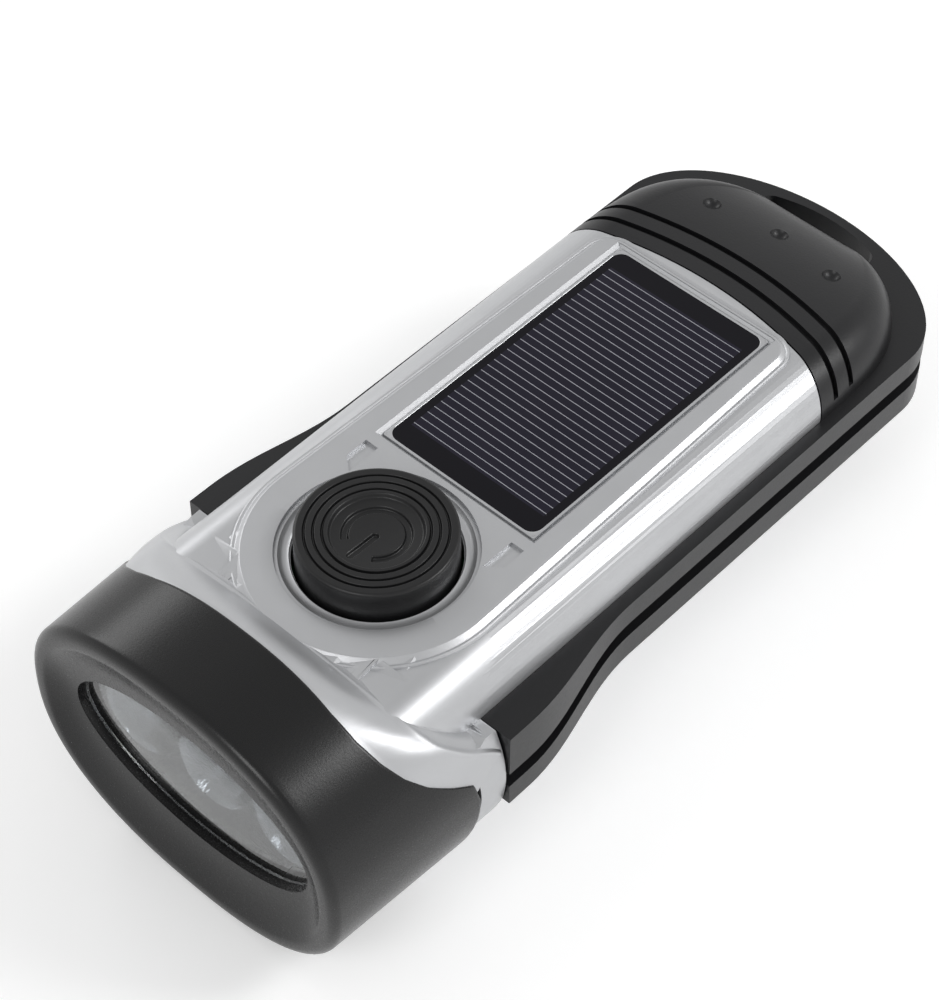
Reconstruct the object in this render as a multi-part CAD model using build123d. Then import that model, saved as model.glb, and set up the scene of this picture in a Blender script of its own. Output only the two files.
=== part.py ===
from build123d import *
import math
import os

# Hand crank flashlight, in millimetres. +X points to the lamp head, +Z to the solar side.
# The origin is on the surface that the light lies on, under the middle of its length and width.
# The crank is folded away into the side that faces down.

os.makedirs("parts", exist_ok=True)

# ---------------------------------------------------------------- overall
head_front_x = 73.75  # front rim of the head
tail_x = -73.75  # outermost point of the tail flange
far = 90.0  # reach of cuts that run out of the object
gap = 0.3  # clearance between pieces that don't touch
fit = 0.03  # radial clearance of a running fit
snug = 0.01  # radial clearance of a fit that doesn't turn

# ---------------------------------------------------------------- head
head_half_w = 32.0  # at the collar
head_half_h = 23.8
bulkhead_x = 57.0  # front wall of the collar, which the head is screwed to
head_front_half_w = 30.6  # the bezel narrows towards its rim
head_front_half_h = 23.3
head_end_r = 22.5  # radius of the oval's ends
bezel_wall = 2.2
bezel_lip_r = 1.6
bezel_sweep_r = 28.2  # side view of the bezel's back edge: an arc about the rim's middle
opening_half_w = 23.3
opening_half_h = 12.0
opening_depth = 2.3  # from the rim plane down the dish
dish_rim = 2.0  # flat lip round the dish
front_wall = 2.0
seal_t = 0.8
lens_t = 2.0
lens_lap = 2.2  # how far the lens reaches past the opening
cup_r = 7.3
cup_pitch = 14.4
cup_count = 3
cup_depth = 11.0
cup_wall = 1.0
lamp_r = 2.5
lamp_flange_r = 2.9
lamp_l = 7.0
board_t = 1.6

# ---------------------------------------------------------------- shells
shell_wall = 2.0
body_half_w = 26.6  # silver shells where they meet the frame
tongue_half_w = 25.6  # their walls inside the frame
body_top_z = 40.6
shoulder_half_w = 19.0  # where the side curve starts
split_z = 26.2  # the two shells meet inside the frame
plateau_top_z = 41.6
plateau_rear_x = -37.85
plateau_rear_half_w = 18.2
plateau_corner_r = 3.5
button_x = 33.0
plateau_front_r = 19.6  # rounded round the button
collar_back_x = 40.4
ridge_x = 52.3  # collar ridge on the middle line
top_rear_x = -41.0  # rear edge of the top shell on the middle line
top_rear_side_x = -34.0  # and at its sides
panel_l = 53.0
panel_w = 29.5
panel_t = 2.0
panel_front_x = 16.25
panel_sink = 0.4  # panel face below the plateau
rim_bevel = 0.9
well_r = 14.85
well_depth = 1.4
button_hole_r = 12.4

# ---------------------------------------------------------------- button and switch
button_r = 11.9
button_top_z = 45.6
button_dish_r = 7.4
button_flange_r = 13.4
button_flange_t = 1.0
button_travel = 1.0
ring_count = 3
ring_h = 0.5
button_dish_depth = 1.1
stem_r = 2.4
switch_size = 7.0
switch_h = 3.2
plunger_r = 1.7
main_board_z = 32.9
main_board_half_w = 20.0
main_board_front_x = 44.0
main_board_rear_x = -40.0
board_post_r = 2.2
board_screw_r = 1.1

# ---------------------------------------------------------------- frame
frame_top_z = 32.6
frame_bottom_z = 20.6
frame_half_w = 28.6
frame_front_half_w = 32.1
flare_start_x = 10.0
flare_end_x = 36.0
tail_round = 17.65  # length of the rounded tail
groove_z = 26.8
groove_h = 2.9
groove_depth = 1.7
groove_drop = 3.8  # the groove runs lower at the head end
frame_drop = 3.2  # and so does the frame's crank side
flange_t = 3.4
cap_length = 27.0  # tail cap, from the shell's rear edge to its foot
slot_w = 3.8
slot_r = 27.0
slot_x = -70.2
slot_half_angle = 19.5
notch_half_w = 12.3
cap_groove_w = 1.1
cap_groove_depth = 0.9
dimple_r = 1.7

# ---------------------------------------------------------------- crank side
disc_x = 2.25  # crank axis
ring_outer_r = 16.6
ring_inner_r = 13.5
ring_face_z = 5.2
back_low_z = 7.4  # lowest line of the silver back
disc_r = 13.2
disc_t = 3.8
disc_sink = 0.2  # disc below the ring's face
disc_groove_count = 5
boss_r = 6.6
boss_x = -3.6
boss_top_z = 0.6
shaft_r = 3.9
shaft_thin_r = 2.4
rib_t = 1.9
rib_half_w = 14.0
rib_end_half_w = 13.2
rear_silver_x = -60.5

# ---------------------------------------------------------------- crank
pin_x = -0.75
pin_z = 2.1
pin_r = 1.1
arm_t = 4.2
arm_half_w = 10.2
arm_tip_half_w = 8.7
arm_tip_x = -61.25
arm_bend_x = -26.0
arm_bend_r = 75.0
arch_half_w = 7.0
knob_x = -56.25
knob_half_l = 4.75
knob_half_w = 8.5
knob_base_z = 13.9
knob_top_z = 26.4
knob_corner_r = 4.0
knob_axle_r = 1.5
pocket_gap = 0.6
pocket_wall = 1.2
pocket_half_w = 11.0
pocket_skirt = 6.4  # how far its front wall stays above the lowest line of the back

# ---------------------------------------------------------------- gear train and generator
gear_module = 0.8
fine_module = 0.6
drive_teeth = 44
compound_pinion_teeth = 12
compound_teeth = 40
pinion_teeth = 10
gear_w = 3.0
gear_bottom_z = 13.2
backlash = 0.14
axle_r = 1.0
plate_z = 19.8
plate_t = 1.6
plate_half_w = 20.0
plate_front_x = 39.0
plate_rear_x = -18.0
post_r = 2.4
post_y = 16.5
post_front_x = 35.5
post_rear_x = -14.5
screw_r = 1.2
screw_head_r = 2.1
screw_head_t = 1.3
can_r = 12.6
can_h = 8.2
can_wall = 0.8
coil_outer_r = 11.4
coil_inner_r = 7.6
magnet_r = 7.0
ratchet_root_r = 7.6
ratchet_tip_r = 6.4
ratchet_teeth = 12

# ---------------------------------------------------------------- battery
cell_r = 7.7
cell_l = 6.0
cell_count = 3
cell_x = -29.5
cell_z = 23.2
tray_wall = 1.6
clip_t = 0.5

# ---------------------------------------------------------------- fasteners
head_screw_y = 12.5
head_screw_dz = 16.8
head_screw_l = 13.0
head_screw_head_r = 1.7
head_screw_cup_x = 46.8

# ---------------------------------------------------------------- worked out
head_low_x = head_front_x - math.sqrt(bezel_sweep_r**2 - head_half_h**2)
head_taper = (head_half_h - head_front_half_h) / (head_front_x - collar_back_x)
head_mid_z = head_half_h - head_taper * (head_low_x - collar_back_x)
drive_pitch_r = gear_module * drive_teeth / 2
compound_x = disc_x + drive_pitch_r + gear_module * compound_pinion_teeth / 2
compound_z = gear_bottom_z + gear_w + 0.5
generator_x = compound_x - fine_module * (compound_teeth + pinion_teeth) / 2
plate_top_z = plate_z + plate_t
opening_x = head_front_x - opening_depth
wall_back_x = opening_x - front_wall
lens_front_x = wall_back_x - seal_t
lens_back_x = lens_front_x - lens_t
reflector_x = lens_back_x - gap
knob_sweep_r = math.hypot(knob_half_w - knob_corner_r, knob_half_l - knob_corner_r) + knob_corner_r
pocket_front_x = knob_x + knob_sweep_r + pocket_gap + pocket_wall
pocket_roof_z = knob_top_z + pocket_gap + pocket_wall
disc_face_z = ring_face_z + disc_sink
disc_floor_z = disc_face_z + disc_t + gap


# ---------------------------------------------------------------- helpers
def box(x0, x1, y0, y1, z0, z1):
    """Axis-aligned block between two corners."""
    centre = Location(((x0 + x1) / 2, (y0 + y1) / 2, (z0 + z1) / 2))
    return centre * Box(x1 - x0, y1 - y0, z1 - z0)


def upright(r, x, y, z0, z1):
    """Cylinder along Z."""
    return Location((x, y, (z0 + z1) / 2)) * Cylinder(r, z1 - z0)


def along_x(r, y, z, x0, x1):
    """Cylinder along X."""
    return Location(((x0 + x1) / 2, y, z), (0, 90, 0)) * Cylinder(r, x1 - x0)


def along_y(r, x, z, y0, y1):
    """Cylinder along Y."""
    return Location((x, (y0 + y1) / 2, z), (90, 0, 0)) * Cylinder(r, y1 - y0)


def plan(edges, z0, z1):
    """Solid over a closed outline drawn in X and Y."""
    return Location((0, 0, z0)) * extrude(make_face(edges), amount=z1 - z0, dir=(0, 0, 1))


def side(edges, half_w):
    """Solid over a closed outline drawn in X and Z, as wide to both sides."""
    face = Plane(origin=(0, 0, 0), x_dir=(1, 0, 0), z_dir=(0, -1, 0)) * make_face(edges)
    return extrude(face, amount=half_w, both=True)


def oval(half_w, half_h, end_r, x):
    """Four-arc oval across X in the head's middle: tight arcs at its ends, wide ones above and below."""
    end_y = half_w - end_r
    wide_r = (end_y**2 + half_h**2 - end_r**2) / (2 * (half_h - end_r))
    drop = wide_r - half_h
    reach = math.hypot(end_y, drop)
    join_y = end_y + end_r * end_y / reach
    join_z = end_r * drop / reach
    outline = Curve() + [
        ThreePointArc((-join_y, join_z), (0, half_h), (join_y, join_z)),
        ThreePointArc((join_y, join_z), (half_w, 0), (join_y, -join_z)),
        ThreePointArc((join_y, -join_z), (0, -half_h), (-join_y, -join_z)),
        ThreePointArc((-join_y, -join_z), (-half_w, 0), (-join_y, join_z)),
    ]
    return Plane(origin=(x, 0, head_mid_z), x_dir=(0, 1, 0), z_dir=(1, 0, 0)) * make_face(outline)


def head_form(inset, x0, x1):
    """Tapering oval body of the head between two X, drawn in by inset."""
    span = head_front_x - collar_back_x
    faces = []
    for x in (x0, x1):
        t = (x - collar_back_x) / span
        half_w = head_half_w + t * (head_front_half_w - head_half_w)
        half_h = head_half_h + t * (head_front_half_h - head_half_h)
        faces.append(oval(half_w - inset, half_h - inset, head_end_r - inset, x))
    return loft(faces, ruled=True)


def screw(length, head_r, shank_r, head_t):
    """Pan head screw along +Z with its head's underside at 0."""
    return upright(head_r, 0, 0, -head_t, 0) + upright(shank_r, 0, 0, 0, length)


# ---------------------------------------------------------------- head pieces
def sweep_cylinder(extra):
    """Cylinder across the head whose wall is the bezel's back edge."""
    return along_y(bezel_sweep_r + extra, head_front_x, head_mid_z, -2 * head_half_w, 2 * head_half_w)


def ellipse_plug(half_w, half_h, x0, x1):
    face = Plane(origin=(x0, 0, head_mid_z), x_dir=(0, 1, 0), z_dir=(1, 0, 0)) * Ellipse(half_w, half_h)
    return extrude(face, amount=x1 - x0)


def head_screw_places():
    heights = (head_mid_z - head_screw_dz, head_mid_z + head_screw_dz)
    return [(y, z) for y in (-head_screw_y, head_screw_y) for z in heights]


def make_bezel():
    outer = head_form(0, collar_back_x, head_front_x)
    rim = outer.faces().sort_by(Axis.X)[-1].edges()
    outer = fillet(rim, bezel_lip_r)
    body = outer & sweep_cylinder(0)
    body -= head_form(bezel_wall, collar_back_x - 1, wall_back_x)
    lip = dish_rim + bezel_lip_r
    plane = Plane(origin=(head_front_x, 0, head_mid_z), x_dir=(0, 1, 0), z_dir=(1, 0, 0))
    wide = plane * Ellipse(head_front_half_w - lip, head_front_half_h - lip)
    narrow = plane.offset(-opening_depth) * Ellipse(opening_half_w, opening_half_h)
    body -= loft([narrow, wide], ruled=True)
    body -= ellipse_plug(opening_half_w, opening_half_h, wall_back_x - 1, opening_x + 0.5)
    for y, z in head_screw_places():
        edge = math.copysign(head_half_h - bezel_wall - 0.6, z - head_mid_z) + head_mid_z
        low, high = sorted((z, edge))
        post = along_x(post_r, y, z, bulkhead_x + gap, wall_back_x + 0.5)
        post += box(bulkhead_x + gap, wall_back_x + 0.5, y - 1, y + 1, low, high)
        body += post & head_form(bezel_wall / 2, collar_back_x, head_front_x - opening_depth - 1)
        body -= along_x(screw_r, y, z, bulkhead_x, bulkhead_x + head_screw_l)
    return body


def make_lens():
    flange = ellipse_plug(opening_half_w + lens_lap, opening_half_h + lens_lap, lens_back_x, lens_front_x)
    crown = ellipse_plug(opening_half_w - gap, opening_half_h - gap, lens_back_x, opening_x - gap)
    return flange + crown


def make_lens_seal():
    ring = ellipse_plug(opening_half_w + lens_lap, opening_half_h + lens_lap, lens_front_x, wall_back_x)
    return ring - ellipse_plug(opening_half_w, opening_half_h, lens_front_x - 1, wall_back_x + 1)


def cup_places():
    return [(i - (cup_count - 1) / 2) * cup_pitch for i in range(cup_count)]


def cup(r_mouth, r_foot, y, x_mouth, x_foot):
    """Bowl of revolution along X whose wall is one arc from foot to mouth."""
    mid = ((r_mouth + r_foot) / 2 + 0.9, (x_mouth + x_foot) / 2 - 1.2)
    outline = Curve() + [
        Line((0, x_foot), (r_foot, x_foot)),
        ThreePointArc((r_foot, x_foot), mid, (r_mouth, x_mouth)),
        Line((r_mouth, x_mouth), (0, x_mouth)),
        Line((0, x_mouth), (0, x_foot)),
    ]
    bowl = revolve(make_face(outline), Axis.Y)
    return Location((0, y, head_mid_z)) * Rot(0, 0, -90) * bowl


def make_reflector():
    flange_x = reflector_x - 1.4
    plate = ellipse_plug(opening_half_w + lens_lap, opening_half_h + lens_lap - 1.4, flange_x, reflector_x)
    foot_x = reflector_x - cup_depth
    for y in cup_places():
        plate += cup(cup_r + cup_wall, lamp_flange_r + cup_wall, y, flange_x + 0.2, foot_x)
    for y in cup_places():
        plate -= cup(cup_r, lamp_flange_r + gap, y, reflector_x + 0.01, foot_x - 0.01)
    return plate


def make_led_board():
    back = reflector_x - cup_depth - gap
    plate = ellipse_plug(opening_half_w, opening_half_h - 2, back - board_t, back)
    return plate


def make_leds():
    back = reflector_x - cup_depth - gap
    lamps = []
    for y in cup_places():
        lamp = along_x(lamp_flange_r, y, head_mid_z, back, back + 1.0)
        lamp += along_x(lamp_r, y, head_mid_z, back, back + lamp_l - lamp_r)
        lamp += Location((back + lamp_l - lamp_r, y, head_mid_z)) * Sphere(lamp_r)
        lamps.append(lamp)
    return Compound(children=lamps)


def make_head_screws():
    screws = []
    for y, z in head_screw_places():
        one = screw(head_screw_l, head_screw_head_r, screw_r - fit, screw_head_t)
        screws.append(Location((bulkhead_x - shell_wall, y, z)) * Rot(0, 90, 0) * one)
    return Compound(children=screws)


# ---------------------------------------------------------------- shells
def collar_side(front):
    """Region behind the head, seen from the side: inside the frame's reach and in front of the ridge arcs."""
    top = head_mid_z + head_half_h + 1
    low_edge = 2 * head_mid_z - top
    frame_low = frame_bottom_z - frame_drop
    mid_top = ((ridge_x + collar_back_x) / 2 - 0.9, (top + frame_top_z) / 2 + 1.2)
    mid_low = ((ridge_x + collar_back_x) / 2 - 0.9, (low_edge + frame_low) / 2 - 1.2)
    return Curve() + [
        Line((front, low_edge), (front, top)),
        Line((front, top), (ridge_x, top)),
        ThreePointArc((ridge_x, top), mid_top, (collar_back_x, frame_top_z + gap)),
        Line((collar_back_x, frame_top_z + gap), (collar_back_x, frame_low - gap)),
        ThreePointArc((collar_back_x, frame_low - gap), mid_low, (ridge_x, low_edge)),
        Line((ridge_x, low_edge), (front, low_edge)),
    ]


def top_section(half_w, top_z, x, base_z):
    """Upper half of the body across X: upright foot, curved shoulder, flat top."""
    shoulder = half_w * shoulder_half_w / body_half_w
    foot = frame_top_z + 0.1
    rise = top_z - foot
    mid_y = shoulder + (half_w - shoulder) * 0.78
    mid_z = foot + rise * 0.68
    outline = Curve() + [
        Line((-half_w, base_z), (-half_w, foot)),
        ThreePointArc((-half_w, foot), (-mid_y, mid_z), (-shoulder, top_z)),
        Line((-shoulder, top_z), (shoulder, top_z)),
        ThreePointArc((shoulder, top_z), (mid_y, mid_z), (half_w, foot)),
        Line((half_w, foot), (half_w, base_z)),
        Line((half_w, base_z), (-half_w, base_z)),
    ]
    return Plane(origin=(x, 0, 0), x_dir=(0, 1, 0), z_dir=(1, 0, 0)) * make_face(outline)


def back_section(half_w, low_z, x, base_z):
    """Lower half of the body across X: upright foot and one broad crown."""
    foot = frame_bottom_z - 0.1
    drop = foot - low_z
    mid_y = half_w * 0.8
    mid_z = foot - drop * 0.66
    outline = Curve() + [
        Line((-half_w, base_z), (-half_w, foot)),
        ThreePointArc((-half_w, foot), (-half_w * 0.93, foot - drop * 0.38), (-mid_y, mid_z)),
        ThreePointArc((-mid_y, mid_z), (0, low_z), (mid_y, mid_z)),
        ThreePointArc((mid_y, mid_z), (half_w * 0.93, foot - drop * 0.38), (half_w, foot)),
        Line((half_w, foot), (half_w, base_z)),
        Line((half_w, base_z), (-half_w, base_z)),
    ]
    return Plane(origin=(x, 0, 0), x_dir=(0, 1, 0), z_dir=(1, 0, 0)) * make_face(outline)


def rear_arc_region(x_mid, x_side, front):
    """Plan region in front of the arc that is the top shell's rear edge."""
    wide = body_half_w + 4
    return Curve() + [
        ThreePointArc((x_side, -wide), (x_mid, 0), (x_side, wide)),
        Line((x_side, wide), (front, wide)),
        Line((front, wide), (front, -wide)),
        Line((front, -wide), (x_side, -wide)),
    ]


def collar():
    """Both halves of the collar in one: the band behind the bezel and the neck inside it."""
    front = bulkhead_x + 4
    band = head_form(gap, collar_back_x, front) & side(collar_side(front), 2 * head_half_w)
    band -= sweep_cylinder(gap)
    return band + head_form(bezel_wall + gap, collar_back_x + shell_wall, bulkhead_x)


def behind_ridge(shift):
    """Everything in front of the ridge's back wall, moved forward by shift."""
    return Location((shift, 0, 0)) * side(collar_side(bulkhead_x + 4), 2 * head_half_w)


def collar_hollow():
    """Space inside the collar, with an opening through its front wall."""
    back = bulkhead_x - shell_wall
    room = head_form(bezel_wall + gap + shell_wall, collar_back_x + shell_wall, back)
    room &= behind_ridge(shell_wall + 0.5)
    return room + ellipse_plug(opening_half_w + 2, opening_half_h + 1, back - 1, bulkhead_x + 1)


def screw_pockets():
    """Cups behind the ridge that take the heads of the head screws."""
    cuts = None
    for y, z in head_screw_places():
        cut = along_x(head_screw_head_r + gap, y, z, head_screw_cup_x, bulkhead_x - shell_wall)
        cut += along_x(screw_r + fit, y, z, head_screw_cup_x, bulkhead_x + 1)
        cuts = cut if cuts is None else cuts + cut
    return cuts


def screw_sleeves():
    """Walls round the cups, so that they stay closed to the inside."""
    walls = None
    for y, z in head_screw_places():
        wall = along_x(head_screw_head_r + gap + 0.8, y, z, head_screw_cup_x - 2, bulkhead_x - 0.5)
        walls = wall if walls is None else walls + wall
    return walls & head_form(bezel_wall + gap + 0.8, collar_back_x, bulkhead_x) & behind_ridge(0.5)


def plateau(z0, z1, inset):
    """Raised field round the panel and the button."""
    rear = plateau_rear_x + inset
    half_rear = plateau_rear_half_w - inset
    r = plateau_front_r - inset
    outline = make_face(
        Polyline((rear, -half_rear), (button_x, -r), (button_x, r), (rear, half_rear), (rear, -half_rear))
    )
    rear_corners = outline.vertices().sort_by(Axis.X)[:2]
    outline = fillet(rear_corners, plateau_corner_r)
    field = Location((0, 0, z0)) * extrude(outline, amount=z1 - z0)
    return field + upright(r, button_x, 0, z0, z1)


def panel_pocket():
    """Recess of the solar panel, with a bevelled rim."""
    x_mid = panel_front_x - panel_l / 2
    length = panel_l + gap
    width = panel_w + gap
    floor = plateau_top_z - panel_sink - panel_t
    cut = Location((x_mid, 0, floor)) * extrude(Rectangle(length, width), amount=panel_t + 2)
    low = Location((x_mid, 0, plateau_top_z - rim_bevel)) * Rectangle(length, width)
    wide = Rectangle(length + 2 * rim_bevel, width + 2 * rim_bevel)
    high = Location((x_mid, 0, plateau_top_z + 0.1)) * wide
    return cut + loft([low, high], ruled=True)


def corner_recess():
    """The two small trapezoid recesses between the panel and the button."""
    cuts = None
    for y_sign in (-1, 1):
        points = [(19.2, 13.2), (25.3, 13.2), (23.3, 15.6), (19.2, 15.6)]
        loop = [(x, y * y_sign) for x, y in points]
        face = make_face(Polyline(*loop, loop[0]))
        cut = Location((0, 0, plateau_top_z - 0.6)) * extrude(face, amount=2, dir=(0, 0, 1))
        cuts = cut if cuts is None else cuts + cut
    return cuts


def board_posts():
    return [(x, y) for x in (main_board_rear_x + 4, main_board_front_x - 21) for y in (-16.4, 16.4)]


def make_top_shell():
    front = ridge_x - 2.5
    base = frame_top_z + gap / 2
    skin = loft([top_section(body_half_w, body_top_z, x, base) for x in (tail_x, front)], ruled=True)
    skin &= plan(rear_arc_region(top_rear_x, top_rear_side_x, front), 0, far)
    inner = tongue_half_w - shell_wall
    skin -= behind_ridge(1.5)
    tongue = box(top_rear_x - 3, collar_back_x + 1.5, -tongue_half_w, tongue_half_w, split_z, frame_top_z + 1)
    tongue &= plan(rear_arc_region(top_rear_x, top_rear_side_x, front), 0, far)
    body = skin + tongue + (collar() & box(-far, far, -far, far, split_z, far))
    body += plateau(body_top_z - 1, plateau_top_z, 0) & box(-far, ridge_x + 1, -far, far, 0, far)
    room = loft([top_section(inner, body_top_z - 3.0, x, 0) for x in (tail_x, bulkhead_x - 3)], ruled=True)
    body -= room
    body -= collar_hollow()
    body += screw_sleeves() & box(-far, far, -far, far, split_z, far)
    body -= screw_pockets()
    body -= panel_pocket()
    body -= corner_recess()
    body -= upright(well_r, button_x, 0, plateau_top_z - well_depth, far)
    body -= upright(button_hole_r, button_x, 0, split_z, far)
    for x, y in board_posts():
        post = upright(board_post_r, x, y, main_board_z + board_t, body_top_z - 1.5)
        body += post - upright(board_screw_r, x, y, 0, body_top_z - 3.5)
    body -= box(-far, pocket_front_x + gap, -pocket_half_w - 2, pocket_half_w + 2, 0, pocket_roof_z + gap)
    return body


def arm_height(x):
    """Rise of the arm's middle line over its straight part."""
    run = max(0.0, arm_bend_x - x)
    return arm_bend_r - math.sqrt(arm_bend_r**2 - run**2)


def back_lofts(inset, x_from):
    """The silver back as one smooth body, lower at the ring and rising towards the tail."""
    steps = ((bulkhead_x - 3, 0), (0.0, 0.2), (-28.0, 1.6), (-46.0, 5.2), (x_from, 10.4))
    faces = []
    for x, rise in steps:
        faces.append(back_section(body_half_w - inset, back_low_z + rise + inset, x, split_z))
    return loft(faces)


def rib_side():
    """Side view of the ribs: level with the ring, then following the arm down to the frame."""
    end = rear_silver_x
    mid = (arm_bend_x + end) / 2
    return Curve() + [
        Line((disc_x, ring_face_z), (arm_bend_x, ring_face_z + 0.4)),
        ThreePointArc((arm_bend_x, ring_face_z + 0.4), (mid, ring_face_z + 3.6), (end, frame_bottom_z - 4.5)),
        Line((end, frame_bottom_z - 4.5), (end, frame_bottom_z - gap)),
        Line((end, frame_bottom_z - gap), (disc_x, frame_bottom_z - gap)),
        Line((disc_x, frame_bottom_z - gap), (disc_x, ring_face_z)),
    ]


def rib_plan(y_sign):
    """Plan of one rib: straight from the ring, then drawing in to the knob pocket."""
    outer = rib_half_w + rib_t / 2
    inner = rib_half_w - rib_t / 2
    end_outer = rib_end_half_w + rib_t / 2
    end_inner = rib_end_half_w - rib_t / 2
    bend = arm_bend_x - 6
    points = [
        (disc_x - 6, inner),
        (bend, inner),
        (rear_silver_x, end_inner),
        (rear_silver_x, end_outer),
        (bend, outer),
        (disc_x - 6, outer),
    ]
    loop = [(x, y * y_sign) for x, y in points]
    return Polyline(*loop, loop[0])


def make_back_shell():
    x_end = rear_silver_x
    skin = back_lofts(0, x_end) & side(frame_side(-far, frame_bottom_z - gap / 2, frame_drop), far)
    skin -= behind_ridge(1.5)
    tongue_back = rear_silver_x + 2
    tongue_low = frame_bottom_z - frame_drop - 1
    tongue = box(tongue_back, collar_back_x + 1.5, -tongue_half_w, tongue_half_w, tongue_low, split_z)
    body = skin + tongue + (collar() & box(-far, far, -far, far, -far, split_z))
    body += upright(ring_outer_r, disc_x, 0, ring_face_z, back_low_z + 6)
    ribs = side(rib_side(), far)
    for y_sign in (-1, 1):
        body += ribs & extrude(make_face(rib_plan(y_sign)), amount=split_z - 2)
    room = back_lofts(shell_wall, x_end + shell_wall)
    room_w = tongue_half_w - shell_wall
    room &= box(pocket_front_x + shell_wall, far, -room_w, room_w, 0, far)
    body -= room
    body -= collar_hollow()
    body += screw_sleeves() & box(-far, far, -far, far, -far, split_z)
    body -= screw_pockets()
    floor = disc_floor_z + shell_wall
    body += upright(ring_inner_r + 1.5, disc_x, 0, ring_face_z + 1, floor)
    body -= upright(ring_inner_r, disc_x, 0, -far, disc_floor_z)
    body -= upright(shaft_r + fit, disc_x, 0, -far, floor + 1)
    body += axle_boss() + plate_posts() + tray_seat()
    body -= upright(axle_r + fit, compound_x, 0, back_low_z + shell_wall, far)
    for x, y in plate_screw_places():
        body -= upright(screw_r, x, y, plate_z - 7, plate_z + 1)
    bay_w = pocket_half_w + pocket_wall + gap
    return body - box(-far, pocket_front_x + gap, -bay_w, bay_w, -far, far)


def plate_screw_places():
    return [(x, y) for x in (post_rear_x, post_front_x) for y in (-post_y, post_y)]


def plate_posts():
    """Posts that carry the gear plate, rising from the silver back."""
    posts = None
    for x, y in plate_screw_places():
        post = upright(post_r, x, y, back_low_z + 4, plate_z)
        posts = post if posts is None else posts + post
    return posts


def axle_boss():
    return upright(axle_r + 1.6, compound_x, 0, back_low_z + 1, gear_bottom_z - 0.6)


def tray_seat():
    """Pads that the battery tray stands on."""
    low = back_low_z + 3
    seat = cell_z - cell_r - tray_wall
    pads = box(cell_x - 4, cell_x - 2, -6, 6, low, seat)
    return pads + box(cell_x + 2, cell_x + 4, -6, 6, low, seat)


# ---------------------------------------------------------------- solar panel, button and switch
def make_solar_panel():
    x_mid = panel_front_x - panel_l / 2
    z = plateau_top_z - panel_sink - panel_t / 2
    slab = Location((x_mid, 0, z)) * Box(panel_l, panel_w, panel_t)
    return fillet(slab.edges().filter_by(Axis.Z), 0.8)


def make_button_cap():
    """Rubber cap: a flange under the shell, a steep side, raised rings and a dished middle."""
    flange_z = body_top_z - 3.0 - 0.1 - button_travel - button_flange_t
    skin_z = button_top_z - 2.4
    land = (button_r - button_dish_r - 0.6) / ring_count
    points = [(0, skin_z), (stem_r + 2, skin_z), (button_r - 2, flange_z)]
    points += [(button_flange_r, flange_z), (button_flange_r, flange_z + button_flange_t)]
    points += [(button_r, flange_z + button_flange_t), (button_r, button_top_z - 0.9)]
    for i in range(ring_count):
        outer = button_r - 0.3 - i * land
        points += [(outer, button_top_z - ring_h), (outer - land * 0.15, button_top_z)]
        points += [(outer - land * 0.55, button_top_z), (outer - land * 0.75, button_top_z - ring_h)]
    dish_z = button_top_z - button_dish_depth
    points += [(button_dish_r, button_top_z - ring_h), (button_dish_r - 1, dish_z), (0, dish_z)]
    outline = make_face(Polyline(*points, points[0]))
    cap = revolve(Plane.XZ * outline, Axis.Z)
    return Location((button_x, 0, 0)) * cap


def plunger_top_z():
    return main_board_z + board_t + switch_h + 1.6


def make_button_stem():
    """Hard core moulded into the cap, which presses the switch."""
    top = button_top_z - 2.4
    low = plunger_top_z() + 0.05
    stem = upright(stem_r, button_x, 0, low, top)
    return stem + upright(stem_r + 1.6, button_x, 0, top - 1.0, top)


def make_main_board():
    half_w = main_board_half_w
    top = main_board_z + board_t
    board = box(main_board_rear_x, main_board_front_x, -half_w, half_w, main_board_z, top)
    for x, y in board_posts():
        board -= upright(board_screw_r + fit, x, y, 0, far)
    return board


def make_board_screws():
    screws = []
    for x, y in board_posts():
        one = screw(board_t + 2.6, board_screw_r + 0.8, board_screw_r - fit, 0.8)
        screws.append(Location((x, y, main_board_z)) * one)
    return Compound(children=screws)


def make_push_switch():
    z0 = main_board_z + board_t
    half = switch_size / 2
    body = box(button_x - half, button_x + half, -half, half, z0, z0 + switch_h)
    return body - upright(plunger_r + fit, button_x, 0, z0 + 0.3, far)


def make_switch_plunger():
    z0 = main_board_z + board_t + 0.4 + button_travel
    return upright(plunger_r, button_x, 0, z0, plunger_top_z())


# ---------------------------------------------------------------- frame
def frame_outline(inset, front):
    """Plan of the frame: flared at the head, straight along the body, rounded at the tail."""
    half = frame_half_w - inset
    wide = frame_front_half_w - inset
    tail_centre = tail_x + tail_round
    tangents = ((1, 0), (1, 0))
    back = ((-1, 0), (-1, 0))
    return Curve() + [
        EllipticalCenterArc((tail_centre, 0), tail_round - inset, half, 90, arc_size=180),
        Line((tail_centre, -half), (flare_start_x, -half)),
        Spline((flare_start_x, -half), (flare_end_x, -wide), tangents=tangents),
        Line((flare_end_x, -wide), (front, -wide)),
        Line((front, -wide), (front, wide)),
        Line((front, wide), (flare_end_x, wide)),
        Spline((flare_end_x, wide), (flare_start_x, half), tangents=back),
        Line((flare_start_x, half), (tail_centre, half)),
    ]


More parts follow.
